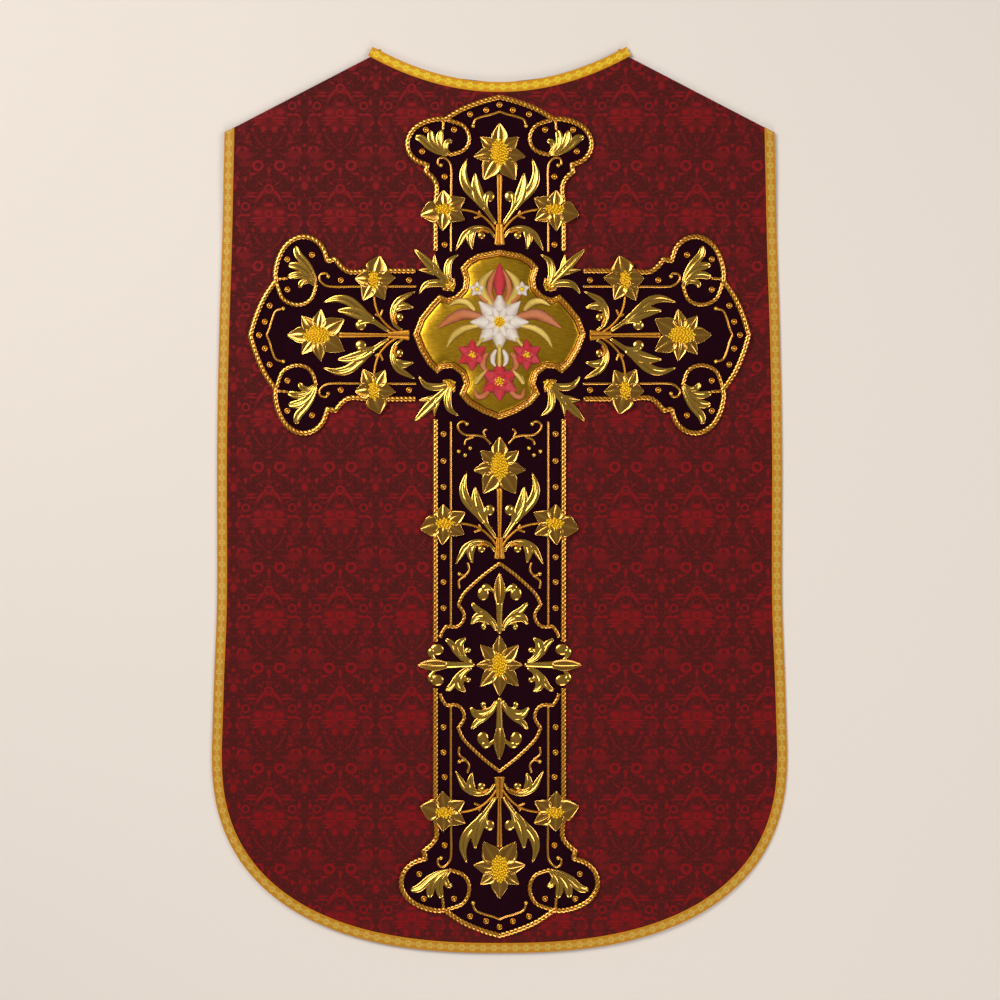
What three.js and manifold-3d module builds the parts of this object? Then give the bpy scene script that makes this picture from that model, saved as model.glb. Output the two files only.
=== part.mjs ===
// A fiddleback chasuble laid flat on a table, back panel up. Millimetres, +Z up, +Y towards the neck.
// The narrower front panel lies face down under the back panel, and both meet at the shoulder seams.
// The back carries an applied velvet cross with padded goldwork, and woven galloon binds the edges.
// The origin is at the middle of the garment's outline, on the table.

import * as THREE from 'three';
import { mergeVertices } from 'three/addons/utils/BufferGeometryUtils.js';
import Module from 'manifold-3d';

const wasm = await Module();
wasm.setup();

// Cloth and trim thicknesses, and the gap that neighbouring pieces keep.
const GAP = 0.3;
const WALL = 1.5;
const GALLOON_THICK = 1.0;
const GALLOON_WIDTH = 12.5;
const VELVET_THICK = 1.0;

// Neckline and shoulders. The back neckline is a parabola, the front one a deeper U.
const NECK_HALF = 148;
const NECK_TOP = 561;
const BACK_NECK_LOW = 522.5;
const FRONT_NECK_LOW = 407;
const FRONT_NECK_POWER = 3;
const NECK_TRIM_OVERHANG = { back: 12, front: 4 };
const SHOULDER = { half: 343.8, y: 459.4 };

// Side edges from the shoulder point down to the widest level, as half widths of the laid panel.
const BACK_SIDE = [
  { half: 343.8, y: 459.4 },
  { half: 347, y: 325 },
  { half: 351, y: 200 },
  { half: 353.5, y: 60 },
  { half: 353.5, y: -120 },
  { half: 357, y: -220 },
  { half: 360, y: -315 },
];
const FRONT_SIDE = [
  { half: 343.8, y: 459.4 },
  { half: 300, y: 385 },
  { half: 264, y: 270 },
  { half: 252, y: 140 },
  { half: 258, y: -20 },
  { half: 272, y: -170 },
  { half: 288, y: -330 },
];

// The hem is a superellipse below the widest level.
const BACK_HEM = { y: -566.2, power: 2.45 };
const FRONT_HEM = { y: -552, power: 2.4 };

// Points on half of an outline: neck, shoulder, side and hem.
const STEPS = { neck: 6, shoulder: 2, side: 10, hem: 10 };

// Heights above the table. The front's rim rides on its own trim and dips to the table inside it,
// and the back's rim sinks to the table beside the front.
const FRONT_RIM = GALLOON_THICK + GAP;
const BACK_LEVEL = FRONT_RIM + WALL + GAP;
const FRONT_DIP = 27;
const SINK_START = 28;
const SINK_END = 66;
const SINK_RINGS = [22, 47, 77];
const SPINE = { low: -330, high: 430, share: 0.8 };
const VELVET_LEVEL = BACK_LEVEL + WALL + GAP;
const WORK_LEVEL = VELVET_LEVEL + VELVET_THICK + GAP;

// The cross: middle of the arms, half width of shaft and arms, and where each end unit's spray is bound.
const CROSS_Y = 206;
const ARM_HALF = 80;
const BOUND_AT = 116;
const FOOT_BOUND_Y = -349;
const SHAFT_BOUND_Y = -70;
const FLEURY_Y = -206;
const CORD_END = 105;
const FLEURY_BREAK = 29;

// Rope round the cross, and the heights of the padded work.
const ROPE = { half: 3, height: 3.6 };
const LEAF_HEIGHT = 2.8;
const CORE_HEIGHT = 4.2;
const OVER_ROPE = WORK_LEVEL + ROPE.height + GAP;

const COLOURS = {
  damask: 0x741018,
  velvet: 0x24040f,
  galloon: 0xdc9a12,
  gold: 0xe2b92e,
  rope: 0xd9961c,
  satin: 0xb8921a,
  bloom: 0xc8262f,
};

const material = (colour, metalness, roughness) =>
  new THREE.MeshStandardMaterial({ color: colour, metalness, roughness });

// Geometry helpers

// A closed solid through rings of equally many points. The ends are capped with a fan from the first
// point, with a fan from a middle point, or by cutting ears off a flat ring.
function skin(rings, cap = 'fan', loop = false) {
  const count = rings[0].length;
  const points = rings.flat();
  const faces = [];
  const bands = loop ? rings.length : rings.length - 1;
  for (let r = 0; r < bands; r++) {
    const low = r * count;
    const high = ((r + 1) % rings.length) * count;
    for (let i = 0; i < count; i++) {
      const j = (i + 1) % count;
      faces.push([low + i, low + j, high + j], [low + i, high + j, high + i]);
    }
  }
  if (!loop) {
    [0, rings.length - 1].forEach((r, end) => {
      const ring = rings[r];
      const first = r * count;
      const lids = [];
      if (cap === 'ears') {
        const flat = ring.map((p) => new THREE.Vector2(p.x, p.y));
        const way = Math.sign(THREE.ShapeUtils.area(flat));
        for (const [a, b, c] of THREE.ShapeUtils.triangulateShape(flat, [])) {
          const same = Math.sign(THREE.ShapeUtils.area([flat[a], flat[b], flat[c]])) === way;
          lids.push(same ? [first + a, first + b, first + c] : [first + a, first + c, first + b]);
        }
      } else if (cap === 'middle') {
        const middle = ring.reduce((sum, p) => sum.add(p), new THREE.Vector3()).divideScalar(count);
        points.push(middle);
        for (let i = 0; i < count; i++) lids.push([points.length - 1, first + i, first + ((i + 1) % count)]);
      } else {
        for (let i = 1; i < count - 1; i++) lids.push([first, first + i, first + i + 1]);
      }
      lids.forEach(([a, b, c]) => faces.push(end === 0 ? [a, c, b] : [a, b, c]));
    });
  }
  return facing(points, faces);
}

// Turns the faces outwards, which a mirrored piece needs, and makes the geometry.
function facing(points, faces) {
  let volume = 0;
  for (const [a, b, c] of faces) {
    volume += points[a].dot(new THREE.Vector3().crossVectors(points[b], points[c]));
  }
  const turned = volume < 0 ? faces.map(([a, b, c]) => [a, c, b]) : faces;
  const geometry = new THREE.BufferGeometry();
  const numbers = points.flatMap((p) => [p.x, p.y, p.z]);
  geometry.setAttribute('position', new THREE.Float32BufferAttribute(numbers, 3));
  geometry.setIndex(turned.flat());
  return geometry;
}

function toManifold(geometry) {
  const merged = mergeVertices(geometry, 1e-4);
  return new wasm.Manifold(new wasm.Mesh({
    numProp: 3,
    vertProperties: new Float32Array(merged.attributes.position.array),
    triVerts: new Uint32Array(merged.index.array),
  }));
}

// One body from overlapping pieces of padded work.
const JOIN_TOLERANCE = 0.2;
function join(geometries) {
  const solid = wasm.Manifold.union(geometries.map(toManifold)).simplify(JOIN_TOLERANCE);
  const mesh = solid.getMesh();
  const geometry = new THREE.BufferGeometry();
  geometry.setAttribute('position', new THREE.Float32BufferAttribute(mesh.vertProperties, 3));
  geometry.setIndex(new THREE.Uint32BufferAttribute(mesh.triVerts, 1));
  return geometry;
}

const at = (p, z) => new THREE.Vector3(p[0], p[1], z);
const curve = (path) => new THREE.SplineCurve(path.map(([x, y]) => new THREE.Vector2(x, y)));
const spline = (path, steps) => curve(path).getPoints(steps).map((p) => [p.x, p.y]);

// Sideways direction at each point of a polyline, lengthened at corners so that the width stays true.
const MITRE_FLOOR = 0.6;
function sideways(path, closed) {
  const last = path.length - 1;
  return path.map((p, i) => {
    const before = path[i === 0 ? (closed ? last : 0) : i - 1];
    const after = path[i === last ? (closed ? 0 : last) : i + 1];
    const into = new THREE.Vector2(p[0] - before[0], p[1] - before[1]);
    const out = new THREE.Vector2(after[0] - p[0], after[1] - p[1]);
    if (into.lengthSq() === 0) into.copy(out);
    if (out.lengthSq() === 0) out.copy(into);
    into.normalize();
    out.normalize();
    const mean = into.clone().add(out).normalize();
    const mitre = 1 / Math.max(mean.dot(into), MITRE_FLOOR);
    return [-mean.y * mitre, mean.x * mitre];
  });
}

const offset = (path, distance, closed) => {
  const side = sideways(path, closed);
  return path.map((p, i) => [p[0] + side[i][0] * distance, p[1] + side[i][1] * distance]);
};

// Panel outlines

const neckY = (low, power) => (x) => low + (NECK_TOP - low) * (Math.abs(x) / NECK_HALF) ** power;
const range = (count) => Array.from({ length: count }, (_, i) => i);

// The whole outline from the middle of the neck down the right side, round the hem and back up the left.
function outline(neck, side, hem) {
  const widest = side[side.length - 1];
  const right = [
    ...range(STEPS.neck).map((i) => NECK_HALF * i / STEPS.neck).map((x) => [x, neck(x)]),
    ...range(STEPS.shoulder).map((i) => [
      NECK_HALF + (SHOULDER.half - NECK_HALF) * i / STEPS.shoulder,
      NECK_TOP + (SHOULDER.y - NECK_TOP) * i / STEPS.shoulder,
    ]),
    ...spline(side.map((row) => [row.half, row.y]), STEPS.side).slice(0, STEPS.side),
    ...range(STEPS.hem + 1).map((i) => {
      const turn = (i / STEPS.hem) * Math.PI / 2;
      const across = Math.cos(turn) ** (2 / hem.power);
      const down = Math.sin(turn) ** (2 / hem.power);
      return [i === STEPS.hem ? 0 : widest.half * across, widest.y + (hem.y - widest.y) * down];
    }),
  ];
  return [...right, ...right.slice(1, -1).reverse().map(([x, y]) => [-x, y])];
}

const backLoop = outline(neckY(BACK_NECK_LOW, 2), BACK_SIDE, BACK_HEM);
const frontLoop = outline(neckY(FRONT_NECK_LOW, FRONT_NECK_POWER), FRONT_SIDE, FRONT_HEM);
const frontFilled = outline(neckY(BACK_NECK_LOW, 2), FRONT_SIDE, FRONT_HEM);
const NECK_CORNER = STEPS.neck;
const SHOULDER_POINT = STEPS.neck + STEPS.shoulder;

// Distance outside the front panel, negative inside it.
function outside(loop, [x, y]) {
  let best = Infinity;
  let within = false;
  loop.forEach(([ax, ay], i) => {
    const [bx, by] = loop[(i + 1) % loop.length];
    const along = ((x - ax) * (bx - ax) + (y - ay) * (by - ay)) / ((bx - ax) ** 2 + (by - ay) ** 2);
    const t = THREE.MathUtils.clamp(along, 0, 1);
    best = Math.min(best, Math.hypot(x - ax - t * (bx - ax), y - ay - t * (by - ay)));
    if ((ay > y) !== (by > y) && x < ax + ((y - ay) / (by - ay)) * (bx - ax)) within = !within;
  });
  return within ? -best : best;
}

// The back lies level over the front and sinks to the table beyond the front's edge.
function backHeight(p) {
  const past = (outside(frontFilled, p) - SINK_START) / (SINK_END - SINK_START);
  return BACK_LEVEL * (1 - THREE.MathUtils.clamp(past, 0, 1));
}

// Rings of a panel: the outline, the trim's inner edge, then rings drawn in towards a spine.
function panelRings(loop, steps) {
  const inner = offset(loop, -GALLOON_WIDTH, true);
  const deeper = steps.map((step) => inner.map(([x, y]) => {
    const target = THREE.MathUtils.clamp(y, SPINE.low, SPINE.high);
    const length = Math.hypot(x, y - target);
    const share = Math.min(step / length, SPINE.share);
    return [x * (1 - share), y + (target - y) * share];
  }));
  return [loop, inner, ...deeper];
}

function panel(rings, height) {
  const lower = rings.map((ring, r) => ring.map((p) => at(p, height(p, r))));
  const upper = lower.map((ring) => ring.map((p) => p.clone().setZ(p.z + WALL)));
  return skin([...lower.slice().reverse(), ...upper], 'ears');
}

const backRings = panelRings(backLoop, SINK_RINGS);
const frontRings = [0, GALLOON_WIDTH, FRONT_DIP].map((depth) => offset(frontLoop, -depth, true));
const backPanel = panel(backRings, backHeight);
const frontPanel = panel(frontRings, (p, ring) => (ring < 2 ? FRONT_RIM : 0));

// Galloon: a flat band between an edge and its inner line, lifted off the panel it lies on.
function band(outer, inner, height) {
  return skin(outer.map((p, i) => [
    at(p, height(p)),
    at(inner[i], height(inner[i])),
    at(inner[i], height(inner[i]) + GALLOON_THICK),
    at(p, height(p) + GALLOON_THICK),
  ]));
}

// The band down one side, round the hem and up the other, cut off along the shoulder seams.
function edgeGalloon(rings, height) {
  const [loop, inner] = rings;
  const ids = range(loop.length - 2 * SHOULDER_POINT + 1).map((i) => SHOULDER_POINT + i);
  const slope = new THREE.Vector2(NECK_HALF - SHOULDER.half, NECK_TOP - SHOULDER.y).normalize();
  const cut = (p) => [p[0] + Math.sign(p[0]) * slope.x * GALLOON_WIDTH, p[1] + slope.y * GALLOON_WIDTH];
  const ends = [0, ids.length - 1];
  const inside = ids.map((i, n) => (ends.includes(n) ? cut(loop[i]) : inner[i]));
  return band(ids.map((i) => loop[i]), inside, height);
}

// The band round the neck, which runs a little past the shoulder seams.
function neckGalloon(loop, overhang, height) {
  const half = range(NECK_CORNER + 1).map((i) => loop[i]);
  const corner = half[NECK_CORNER];
  const before = half[NECK_CORNER - 1];
  const along = new THREE.Vector2(corner[0] - before[0], corner[1] - before[1]).setLength(overhang);
  const right = [...half, [corner[0] + along.x, corner[1] + along.y]];
  const edge = [...right.slice(1).reverse().map(([x, y]) => [-x, y]), ...right];
  return band(edge, offset(edge, -GALLOON_WIDTH, false), height);
}

const onBack = (p) => backHeight(p) + WALL + GAP;
const onTable = () => 0;

// Units: an end of the cross in its own frame, u across and v outwards from where the spray is bound.
// Ends swell by their stretch past the shoulders of the lobes.
const STRETCH_FROM = { u: ARM_HALF, v: 80 };
const UNITS = {
  top: { base: [0, CROSS_Y + BOUND_AT], out: [0, 1], stretch: { u: 1, v: 1 } },
  left: { base: [-BOUND_AT, CROSS_Y], out: [-1, 0], stretch: { u: 1.22, v: 1.14 } },
  right: { base: [BOUND_AT, CROSS_Y], out: [1, 0], stretch: { u: 1.22, v: 1.14 } },
  foot: { base: [0, FOOT_BOUND_Y], out: [0, -1], stretch: { u: 1.22, v: 1.14 } },
};
const SHAFT = { base: [0, SHAFT_BOUND_Y], out: [0, 1], stretch: { u: 1, v: 1 } };
const SIDES = [-1, 1];

const place = (unit, side = 1, swell = false) => ([u, v]) => {
  const grown = swell
    ? [u + Math.max(0, u - STRETCH_FROM.u) * (unit.stretch.u - 1),
      v + Math.max(0, v - STRETCH_FROM.v) * (unit.stretch.v - 1)]
    : [u, v];
  const [ox, oy] = unit.out;
  return [
    unit.base[0] + oy * side * grown[0] + ox * grown[1],
    unit.base[1] - ox * side * grown[0] + oy * grown[1],
  ];
};

// Half of the rope's line round an end, as smooth runs that meet in corners.
const CROWN_RUN = [[0, 181], [21, 175.5], [43, 167.5], [57, 160], [68, 153]];
const LOBE_RUN = [
  [68, 153], [79, 153.5], [94, 149.5], [107, 141], [114.5, 127.5], [113, 113], [104, 102], [90, 96.5],
];
const WAIST_RUN = [[90, 96.5], [92, 88], [84, 81], [79, 72], [78.5, 62], [80, 50]];
const ROPE_STEP = 12;

function rounded(run) {
  const line = curve(run);
  const steps = Math.max(1, Math.round(line.getLength() / ROPE_STEP));
  return line.getSpacedPoints(steps).map((p) => [p.x, p.y]);
}
const HALF_END = [
  ...rounded(CROWN_RUN).slice(0, -1),
  ...rounded(LOBE_RUN).slice(0, -1),
  [90, 96.5],
  ...rounded(WAIST_RUN.slice(1)),
];

// The rope's line round an end from low on its left side to low on its right side.
function endLine(unit, low) {
  const sideLine = (side) => [...HALF_END, [ARM_HALF, low]].map(place(unit, side, true));
  return [...sideLine(-1).reverse(), ...sideLine(1).slice(1)];
}

// Padded work

// A cord with a rounded back, along a line on the velvet.
const ROPE_SECTION = [[-1, 0], [-0.6, 1], [0.6, 1], [1, 0]];
const CORD_SECTION = [[-1, 0], [0, 1], [1, 0]];
function cord(path, { half, height }, section = ROPE_SECTION) {
  const side = sideways(path, false);
  return skin(path.map((p, i) => section.map(([s, h]) =>
    at([p[0] + side[i][0] * s * half, p[1] + side[i][1] * s * half], WORK_LEVEL + h * height))));
}

// A ridged leaf: its width follows a profile from base to tip, and a zero width closes it in a point.
const PROFILES = {
  leaf: [0.36, 0.6, 1, 0.85, 0.12],
  blade: [0.5, 1, 0.85, 0.12],
  lance: [0.5, 1, 0.12],
  hook: [1, 1],
  tail: [1, 1, 1],
  stem: [1, 1, 1, 1],
  ring: [1, 1, 1, 1, 1, 1],
  flare: [0.55, 1],
  sheaf: [1, 0.72, 0.6],
};
const LOWEST_SHARE = 0.2;
function leaf(path, width, profile, level = WORK_LEVEL, height = LEAF_HEIGHT) {
  const shape = PROFILES[profile];
  const line = spline(path, shape.length - 1);
  const side = sideways(line, false);
  return skin(line.map((p, i) => {
    const half = shape[i] * width / 2;
    const rise = height * Math.sqrt(Math.max(shape[i], LOWEST_SHARE));
    return [[-1, 0], [0, 1], [1, 0]].map(([s, h]) =>
      at([p[0] + side[i][0] * s * half, p[1] + side[i][1] * s * half], level + h * rise));
  }));
}

// A low round boss with its middle raised.
const BOSS = { sides: 6, top: 0.55 };
function boss([x, y], [rx, ry]) {
  const ring = (scale, z) => range(BOSS.sides).map((i) => {
    const turn = (i + 0.5) * 2 * Math.PI / BOSS.sides;
    return at([x + rx * scale * Math.cos(turn), y + ry * scale * Math.sin(turn)], z);
  });
  return skin([ring(1, WORK_LEVEL), ring(BOSS.top, WORK_LEVEL + LEAF_HEIGHT)], 'middle');
}

// A flower: petals to the given tips, each ridged from notch to tip, round a raised oval core.
const PETAL_SHAPE = [
  { turn: -0.5, reach: 0.5, ridge: 0.55 },
  { turn: -0.26, reach: 0.82, ridge: 0.85 },
  { turn: 0, reach: 1, ridge: 1 },
  { turn: 0.26, reach: 0.82, ridge: 0.85 },
];
const NOTCH_TURN = -0.5;
const PETAL_RING = 1.5;
const CORE_TOP = 0.8;
function flower(centre, tips, core, level) {
  const polar = tips.map(([x, y]) => ({ angle: Math.atan2(y, x), reach: Math.hypot(x, y) }))
    .sort((a, b) => a.angle - b.angle);
  const rays = polar.flatMap((petal, i) => {
    const before = polar[(i + polar.length - 1) % polar.length];
    const after = polar[(i + 1) % polar.length];
    const wrap = (angle) => ((angle + 3 * Math.PI) % (2 * Math.PI)) - Math.PI;
    const back = -wrap(before.angle - petal.angle);
    const ahead = wrap(after.angle - petal.angle);
    return PETAL_SHAPE.map(({ turn, reach, ridge }) => ({
      angle: petal.angle + turn * (turn < 0 ? back : ahead),
      reach: reach * (turn === NOTCH_TURN ? (petal.reach + before.reach) / 2 : petal.reach),
      ridge,
    }));
  });
  const ring = (share, z) => rays.map((ray) => {
    const rim = 1 / Math.hypot(Math.cos(ray.angle) / core[0], Math.sin(ray.angle) / core[1]);
    const r = share < 1 ? rim * share : rim + (ray.reach - rim) * (share - 1);
    return at([centre[0] + r * Math.cos(ray.angle), centre[1] + r * Math.sin(ray.angle)],
      level + z * (share > 1 && share < 2 ? ray.ridge : 1));
  });
  return skin([ring(2, 0), ring(PETAL_RING, LEAF_HEIGHT), ring(CORE_TOP, CORE_HEIGHT)], 'middle');
}

// The spray that grows from a binding: right half of its pieces, u across and v outwards.
const SPRAY = [
  { path: [[3, 20], [18, 42], [31, 57], [42.5, 72], [45.5, 88], [40.5, 105]], width: 12.5, profile: 'leaf' },
  { path: [[17, 41], [25, 55], [29.5, 71], [30.5, 87]], width: 15, profile: 'blade' },
  { path: [[15.5, 38], [18.5, 50], [15.5, 60]], width: 4.5, profile: 'tail' },
  { path: [[3, 11], [10, 22], [23, 33.5], [39, 39.5], [63, 42]], width: 4, profile: 'stem' },
  { path: [[5, 4], [13, 15], [28, 16.5], [41, 11], [49, 0], [54, -12]], width: 9, profile: 'leaf' },
  { path: [[33, 13], [37, 2], [29, -11]], width: 12, profile: 'lance' },
];
const SPRAY_BUDS = [{ centre: [11.5, 60.5], radii: [6.5, 7.5] }, { centre: [22.5, 8.5], radii: [5, 4.5] }];
const SPRAY_FLOWER_V = 112;
const BLOOM_TIPS = [[0, 37], [24, 19.5], [32.5, -5], [20, -34], [-20, -34], [-32.5, -5], [-24, 19.5]];
const BLOOM_CORE = [11, 17];
const STAR_CENTRE = [68.8, 41];
const STAR_TIPS = [[1.7, 23.5], [30, -7.5], [2.5, -27], [-25, -14], [-26, 13.5]];
const STAR_CORE = [11.5, 6.5];
const STALK = { path: [[0, 18], [0, 86]], width: 7.5, profile: 'flare' };
const SHEAF = { path: [[0, -4], [0, 24]], width: 15, profile: 'sheaf' };

// Vectors and radii turned with a unit.
const turned = (unit, side) => ([u, v]) => {
  const [ox, oy] = unit.out;
  return [oy * side * u + ox * v, -ox * side * u + oy * v];
};
const turnedRadii = (unit, [ru, rv]) => (unit.out[0] === 0 ? [ru, rv] : [rv, ru]);

function spray(unit) {
  const middle = place(unit);
  const pieces = [
    leaf(SHEAF.path.map(middle), SHEAF.width, SHEAF.profile, WORK_LEVEL, CORE_HEIGHT),
    leaf(STALK.path.map(middle), STALK.width, STALK.profile),
  ];
  for (const side of SIDES) {
    const here = place(unit, side);
    SPRAY.forEach(({ path, width, profile }) => pieces.push(leaf(path.map(here), width, profile)));
    SPRAY_BUDS.forEach(({ centre, radii }) => pieces.push(boss(here(centre), turnedRadii(unit, radii))));
  }
  return join(pieces);
}

// The big flower at the head of a spray, and the small ones that lie over the rope on either side.
const bigFlower = (unit) => flower(place(unit)([0, SPRAY_FLOWER_V]), BLOOM_TIPS.map(turned(unit, 1)),
  turnedRadii(unit, BLOOM_CORE), WORK_LEVEL);
const smallFlower = (unit, side) => flower(place(unit, side)(STAR_CENTRE), STAR_TIPS.map(turned(unit, side)),
  turnedRadii(unit, STAR_CORE), OVER_ROPE);

// The fan of leaves inside a lobe and the scroll that closes round it.
const FAN = [
  { path: [[62, 108.8], [76, 113], [87, 120.5], [96, 128.5], [106, 128]], width: 9, profile: 'leaf' },
  { path: [[64, 109.6], [78, 119], [84.5, 130], [86, 139]], width: 8.5, profile: 'blade' },
  { path: [[67, 113], [73, 122], [73.5, 131], [70, 139]], width: 9, profile: 'blade' },
  { path: [[61.5, 110.5], [66, 117.5], [64, 124.5], [57, 126]], width: 6, profile: 'blade' },
  {
    path: [[57.5, 149.5], [46, 146], [39, 136], [38.5, 124], [46, 114], [63, 108.8]],
    width: 5,
    profile: 'ring',
  },
  { path: [[70.5, 145.5], [70.8, 138]], width: 4, profile: 'hook' },
];
const fan = (unit, side) => join(FAN.map(({ path, width, profile }) =>
  leaf(path.map(place(unit, side, true)), width, profile)));

// Corner sprigs beside the medallion, for the corner to the upper right.
const SPRIG = [
  { path: [[60, 60], [73, 74], [90, 91], [107, 108]], width: 12, profile: 'leaf' },
  { path: [[76, 77], [80, 88], [81.5, 101.5]], width: 8, profile: 'lance' },
  { path: [[77, 76], [88, 80], [101.5, 81.5]], width: 8, profile: 'lance' },
  { path: [[61, 63], [65, 78], [62.5, 92], [51, 101]], width: 10, profile: 'blade' },
  { path: [[63, 61], [78, 65], [92, 62.5], [101, 51]], width: 10, profile: 'blade' },
];
const SPRIG_BUD = { at: 61, radii: [6, 6] };
const sprig = (sx, sy) => join([
  ...SPRIG.map(({ path, width, profile }) =>
    leaf(path.map(([x, y]) => [sx * x, CROSS_Y + sy * y]), width, profile)),
  boss([sx * SPRIG_BUD.at, CROSS_Y + sy * SPRIG_BUD.at], SPRIG_BUD.radii),
]);

// The medallion's frame line, right half from the top round to the tip, about the middle of the cross.
const FRAME_LINE = [
  [0, 107], [27, 102], [40, 94.5], [49.5, 84], [45, 70], [46.5, 59], [55, 50], [65, 46.5], [75.5, 51],
  [87, 39], [100.5, 22], [108.5, 1], [100.5, -19.5], [90, -37], [78, -48.5], [70, -42.5], [59, -41.5],
  [48.5, -49.5], [45, -60.5], [51, -74], [40, -87], [21, -98], [0, -106],
];
const FRAME_WIDTH = 7.5;
const FRAME_HEIGHT = 3;
const frameLine = [...FRAME_LINE, ...FRAME_LINE.slice(1, -1).reverse().map(([x, y]) => [-x, y])]
  .map(([x, y]) => [x, y + CROSS_Y]);

function medallionFrame() {
  const mid = offset(frameLine, -FRAME_WIDTH / 2, true);
  const inner = offset(frameLine, -FRAME_WIDTH, true);
  return skin(frameLine.map((p, i) => [
    at(p, WORK_LEVEL),
    at(mid[i], WORK_LEVEL + FRAME_HEIGHT),
    at(inner[i], WORK_LEVEL),
  ]), 'fan', true);
}

// The padded satin field inside the frame, crowned towards its middle.
const FIELD_RIM = 1.4;
const FIELD_CROWN = 2.2;
const CROWN_SHARE = 0.86;
function medallionField() {
  const rim = offset(frameLine, -(FRAME_WIDTH + GAP), true);
  const shrink = (share, z) => rim.map(([x, y]) => at([x * share, CROSS_Y + (y - CROSS_Y) * share], z));
  return skin([
    shrink(1, WORK_LEVEL),
    shrink(1, WORK_LEVEL + FIELD_RIM),
    shrink(CROWN_SHARE, WORK_LEVEL + FIELD_CROWN),
  ], 'ears');
}

// A posy of open blooms and leaves on the field.
const POSY_LEVEL = WORK_LEVEL + FIELD_CROWN + GAP;
const POSY_BLOOMS = [
  { centre: [0, 20], petals: 6, reach: 31, core: 10 },
  { centre: [-36, -26], petals: 5, reach: 22, core: 7 },
  { centre: [36, -26], petals: 5, reach: 22, core: 7 },
  { centre: [0, -58], petals: 5, reach: 19, core: 6 },
];
const POSY_LEAVES = [
  { path: [[8, 6], [24, -6], [34, -20]], width: 6, profile: 'hook' },
  { path: [[20, 22], [44, 26], [60, 20], [78, 8]], width: 14, profile: 'blade' },
  { path: [[4, 30], [21, 54], [20, 68], [7, 82]], width: 12, profile: 'blade' },
];
const POSY_STEM = { path: [[0, 0], [0, -50]], width: 6, profile: 'hook' };
function posy() {
  const there = ([x, y]) => [x, y + CROSS_Y];
  const blooms = POSY_BLOOMS.map(({ centre, petals, reach, core }) => flower(there(centre),
    range(petals).map((i) => {
      const turn = Math.PI / 2 + i * 2 * Math.PI / petals;
      return [reach * Math.cos(turn), reach * Math.sin(turn)];
    }), [core, core], POSY_LEVEL));
  const leaves = SIDES.flatMap((side) => POSY_LEAVES.map(({ path, width, profile }) =>
    leaf(path.map(([x, y]) => there([side * x, y])), width, profile, POSY_LEVEL)));
  const stem = leaf(POSY_STEM.path.map(there), POSY_STEM.width, POSY_STEM.profile, POSY_LEVEL);
  return join([...blooms, ...leaves, stem]);
}

// The fleury cross on the shaft: four arms round an open flower.
const FLEURY_ARM = [
  { path: [[4, 2], [12, 12], [20, 19], [33, 35]], width: 8, profile: 'blade' },
  { path: [[3, 0], [13, 12], [25, 16], [34, 9]], width: 9, profile: 'blade' },
  { path: [[1, 38], [8, 46], [16, 53]], width: 6, profile: 'stem' },
];
const FLEURY_CURL = { centre: [20, 49], radii: [6, 7] };
const FLEURY_TIP = { path: [[0, 34], [0, 47], [0, 60], [0, 74]], width: 15, profile: 'blade' };
const FLEURY_STEM = { path: [[0, -3], [0, 38]], width: 9, profile: 'flare' };
const FLEURY_ARMS = [
  { name: 'upper', from: [0, 41], out: [0, 1], scale: 1 },
  { name: 'lower', from: [0, -43], out: [0, -1], scale: 1.02 },
  { name: 'left', from: [-33, 0], out: [-1, 0], scale: 0.94 },
  { name: 'right', from: [33, 0], out: [1, 0], scale: 0.94 },
];
const HEART_TIPS = [[0, 37], [24, 25], [29, 0], [24, -27], [0, -39], [-24, -27], [-29, 0], [-24, 25]];
const HEART_CORE = [9, 15];

const heartFlower = () => flower([0, FLEURY_Y], HEART_TIPS, HEART_CORE, WORK_LEVEL);

function fleuryArm(arm) {
  const unit = { base: [arm.from[0], arm.from[1] + FLEURY_Y], out: arm.out, stretch: { u: 1, v: 1 } };
  const scaled = ([u, v]) => [u * arm.scale, v * arm.scale];
  const middle = (p) => place(unit)(scaled(p));
  const pieces = [
    leaf(FLEURY_STEM.path.map(middle), FLEURY_STEM.width, FLEURY_STEM.profile),
    leaf(FLEURY_TIP.path.map(middle), FLEURY_TIP.width, FLEURY_TIP.profile, WORK_LEVEL, CORE_HEIGHT),
  ];
  for (const side of SIDES) {
    const here = (p) => place(unit, side)(scaled(p));
    FLEURY_ARM.forEach(({ path, width, profile }) => pieces.push(leaf(path.map(here), width, profile)));
    pieces.push(boss(here(FLEURY_CURL.centre), turnedRadii(unit, FLEURY_CURL.radii)));
  }
  return join(pieces);
}

// The cartouche's cord on the shaft: right half of its upper part, about the fleury cross.
const CARTOUCHE = [
  [[0, 127], [19, 113], [37, 97], [46, 87], [51.5, 75]],
  [[51.5, 75], [45, 66], [44.5, 58], [49, 50.5], [56, 47.5], [66.5, 48.5]],
  [[66.5, 48.5], [72, 40.5], [74, 34]],
];
const CARTOUCHE_CORD = { half: 2, height: 2.4 };
const CARTOUCHE_LOWER_STRETCH = 1.045;

function cartouche(sign) {
  const grow = sign < 0 ? CARTOUCHE_LOWER_STRETCH : 1;
  const half = CARTOUCHE.flatMap((run, i) => rounded(run).slice(i === 0 ? 0 : 1));
  const put = (side) => half.map(([u, v]) => [side * u, FLEURY_Y + sign * v * grow]);
  return cord([...put(-1).reverse(), ...put(1).slice(1)], CARTOUCHE_CORD, CORD_SECTION);
}

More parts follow.
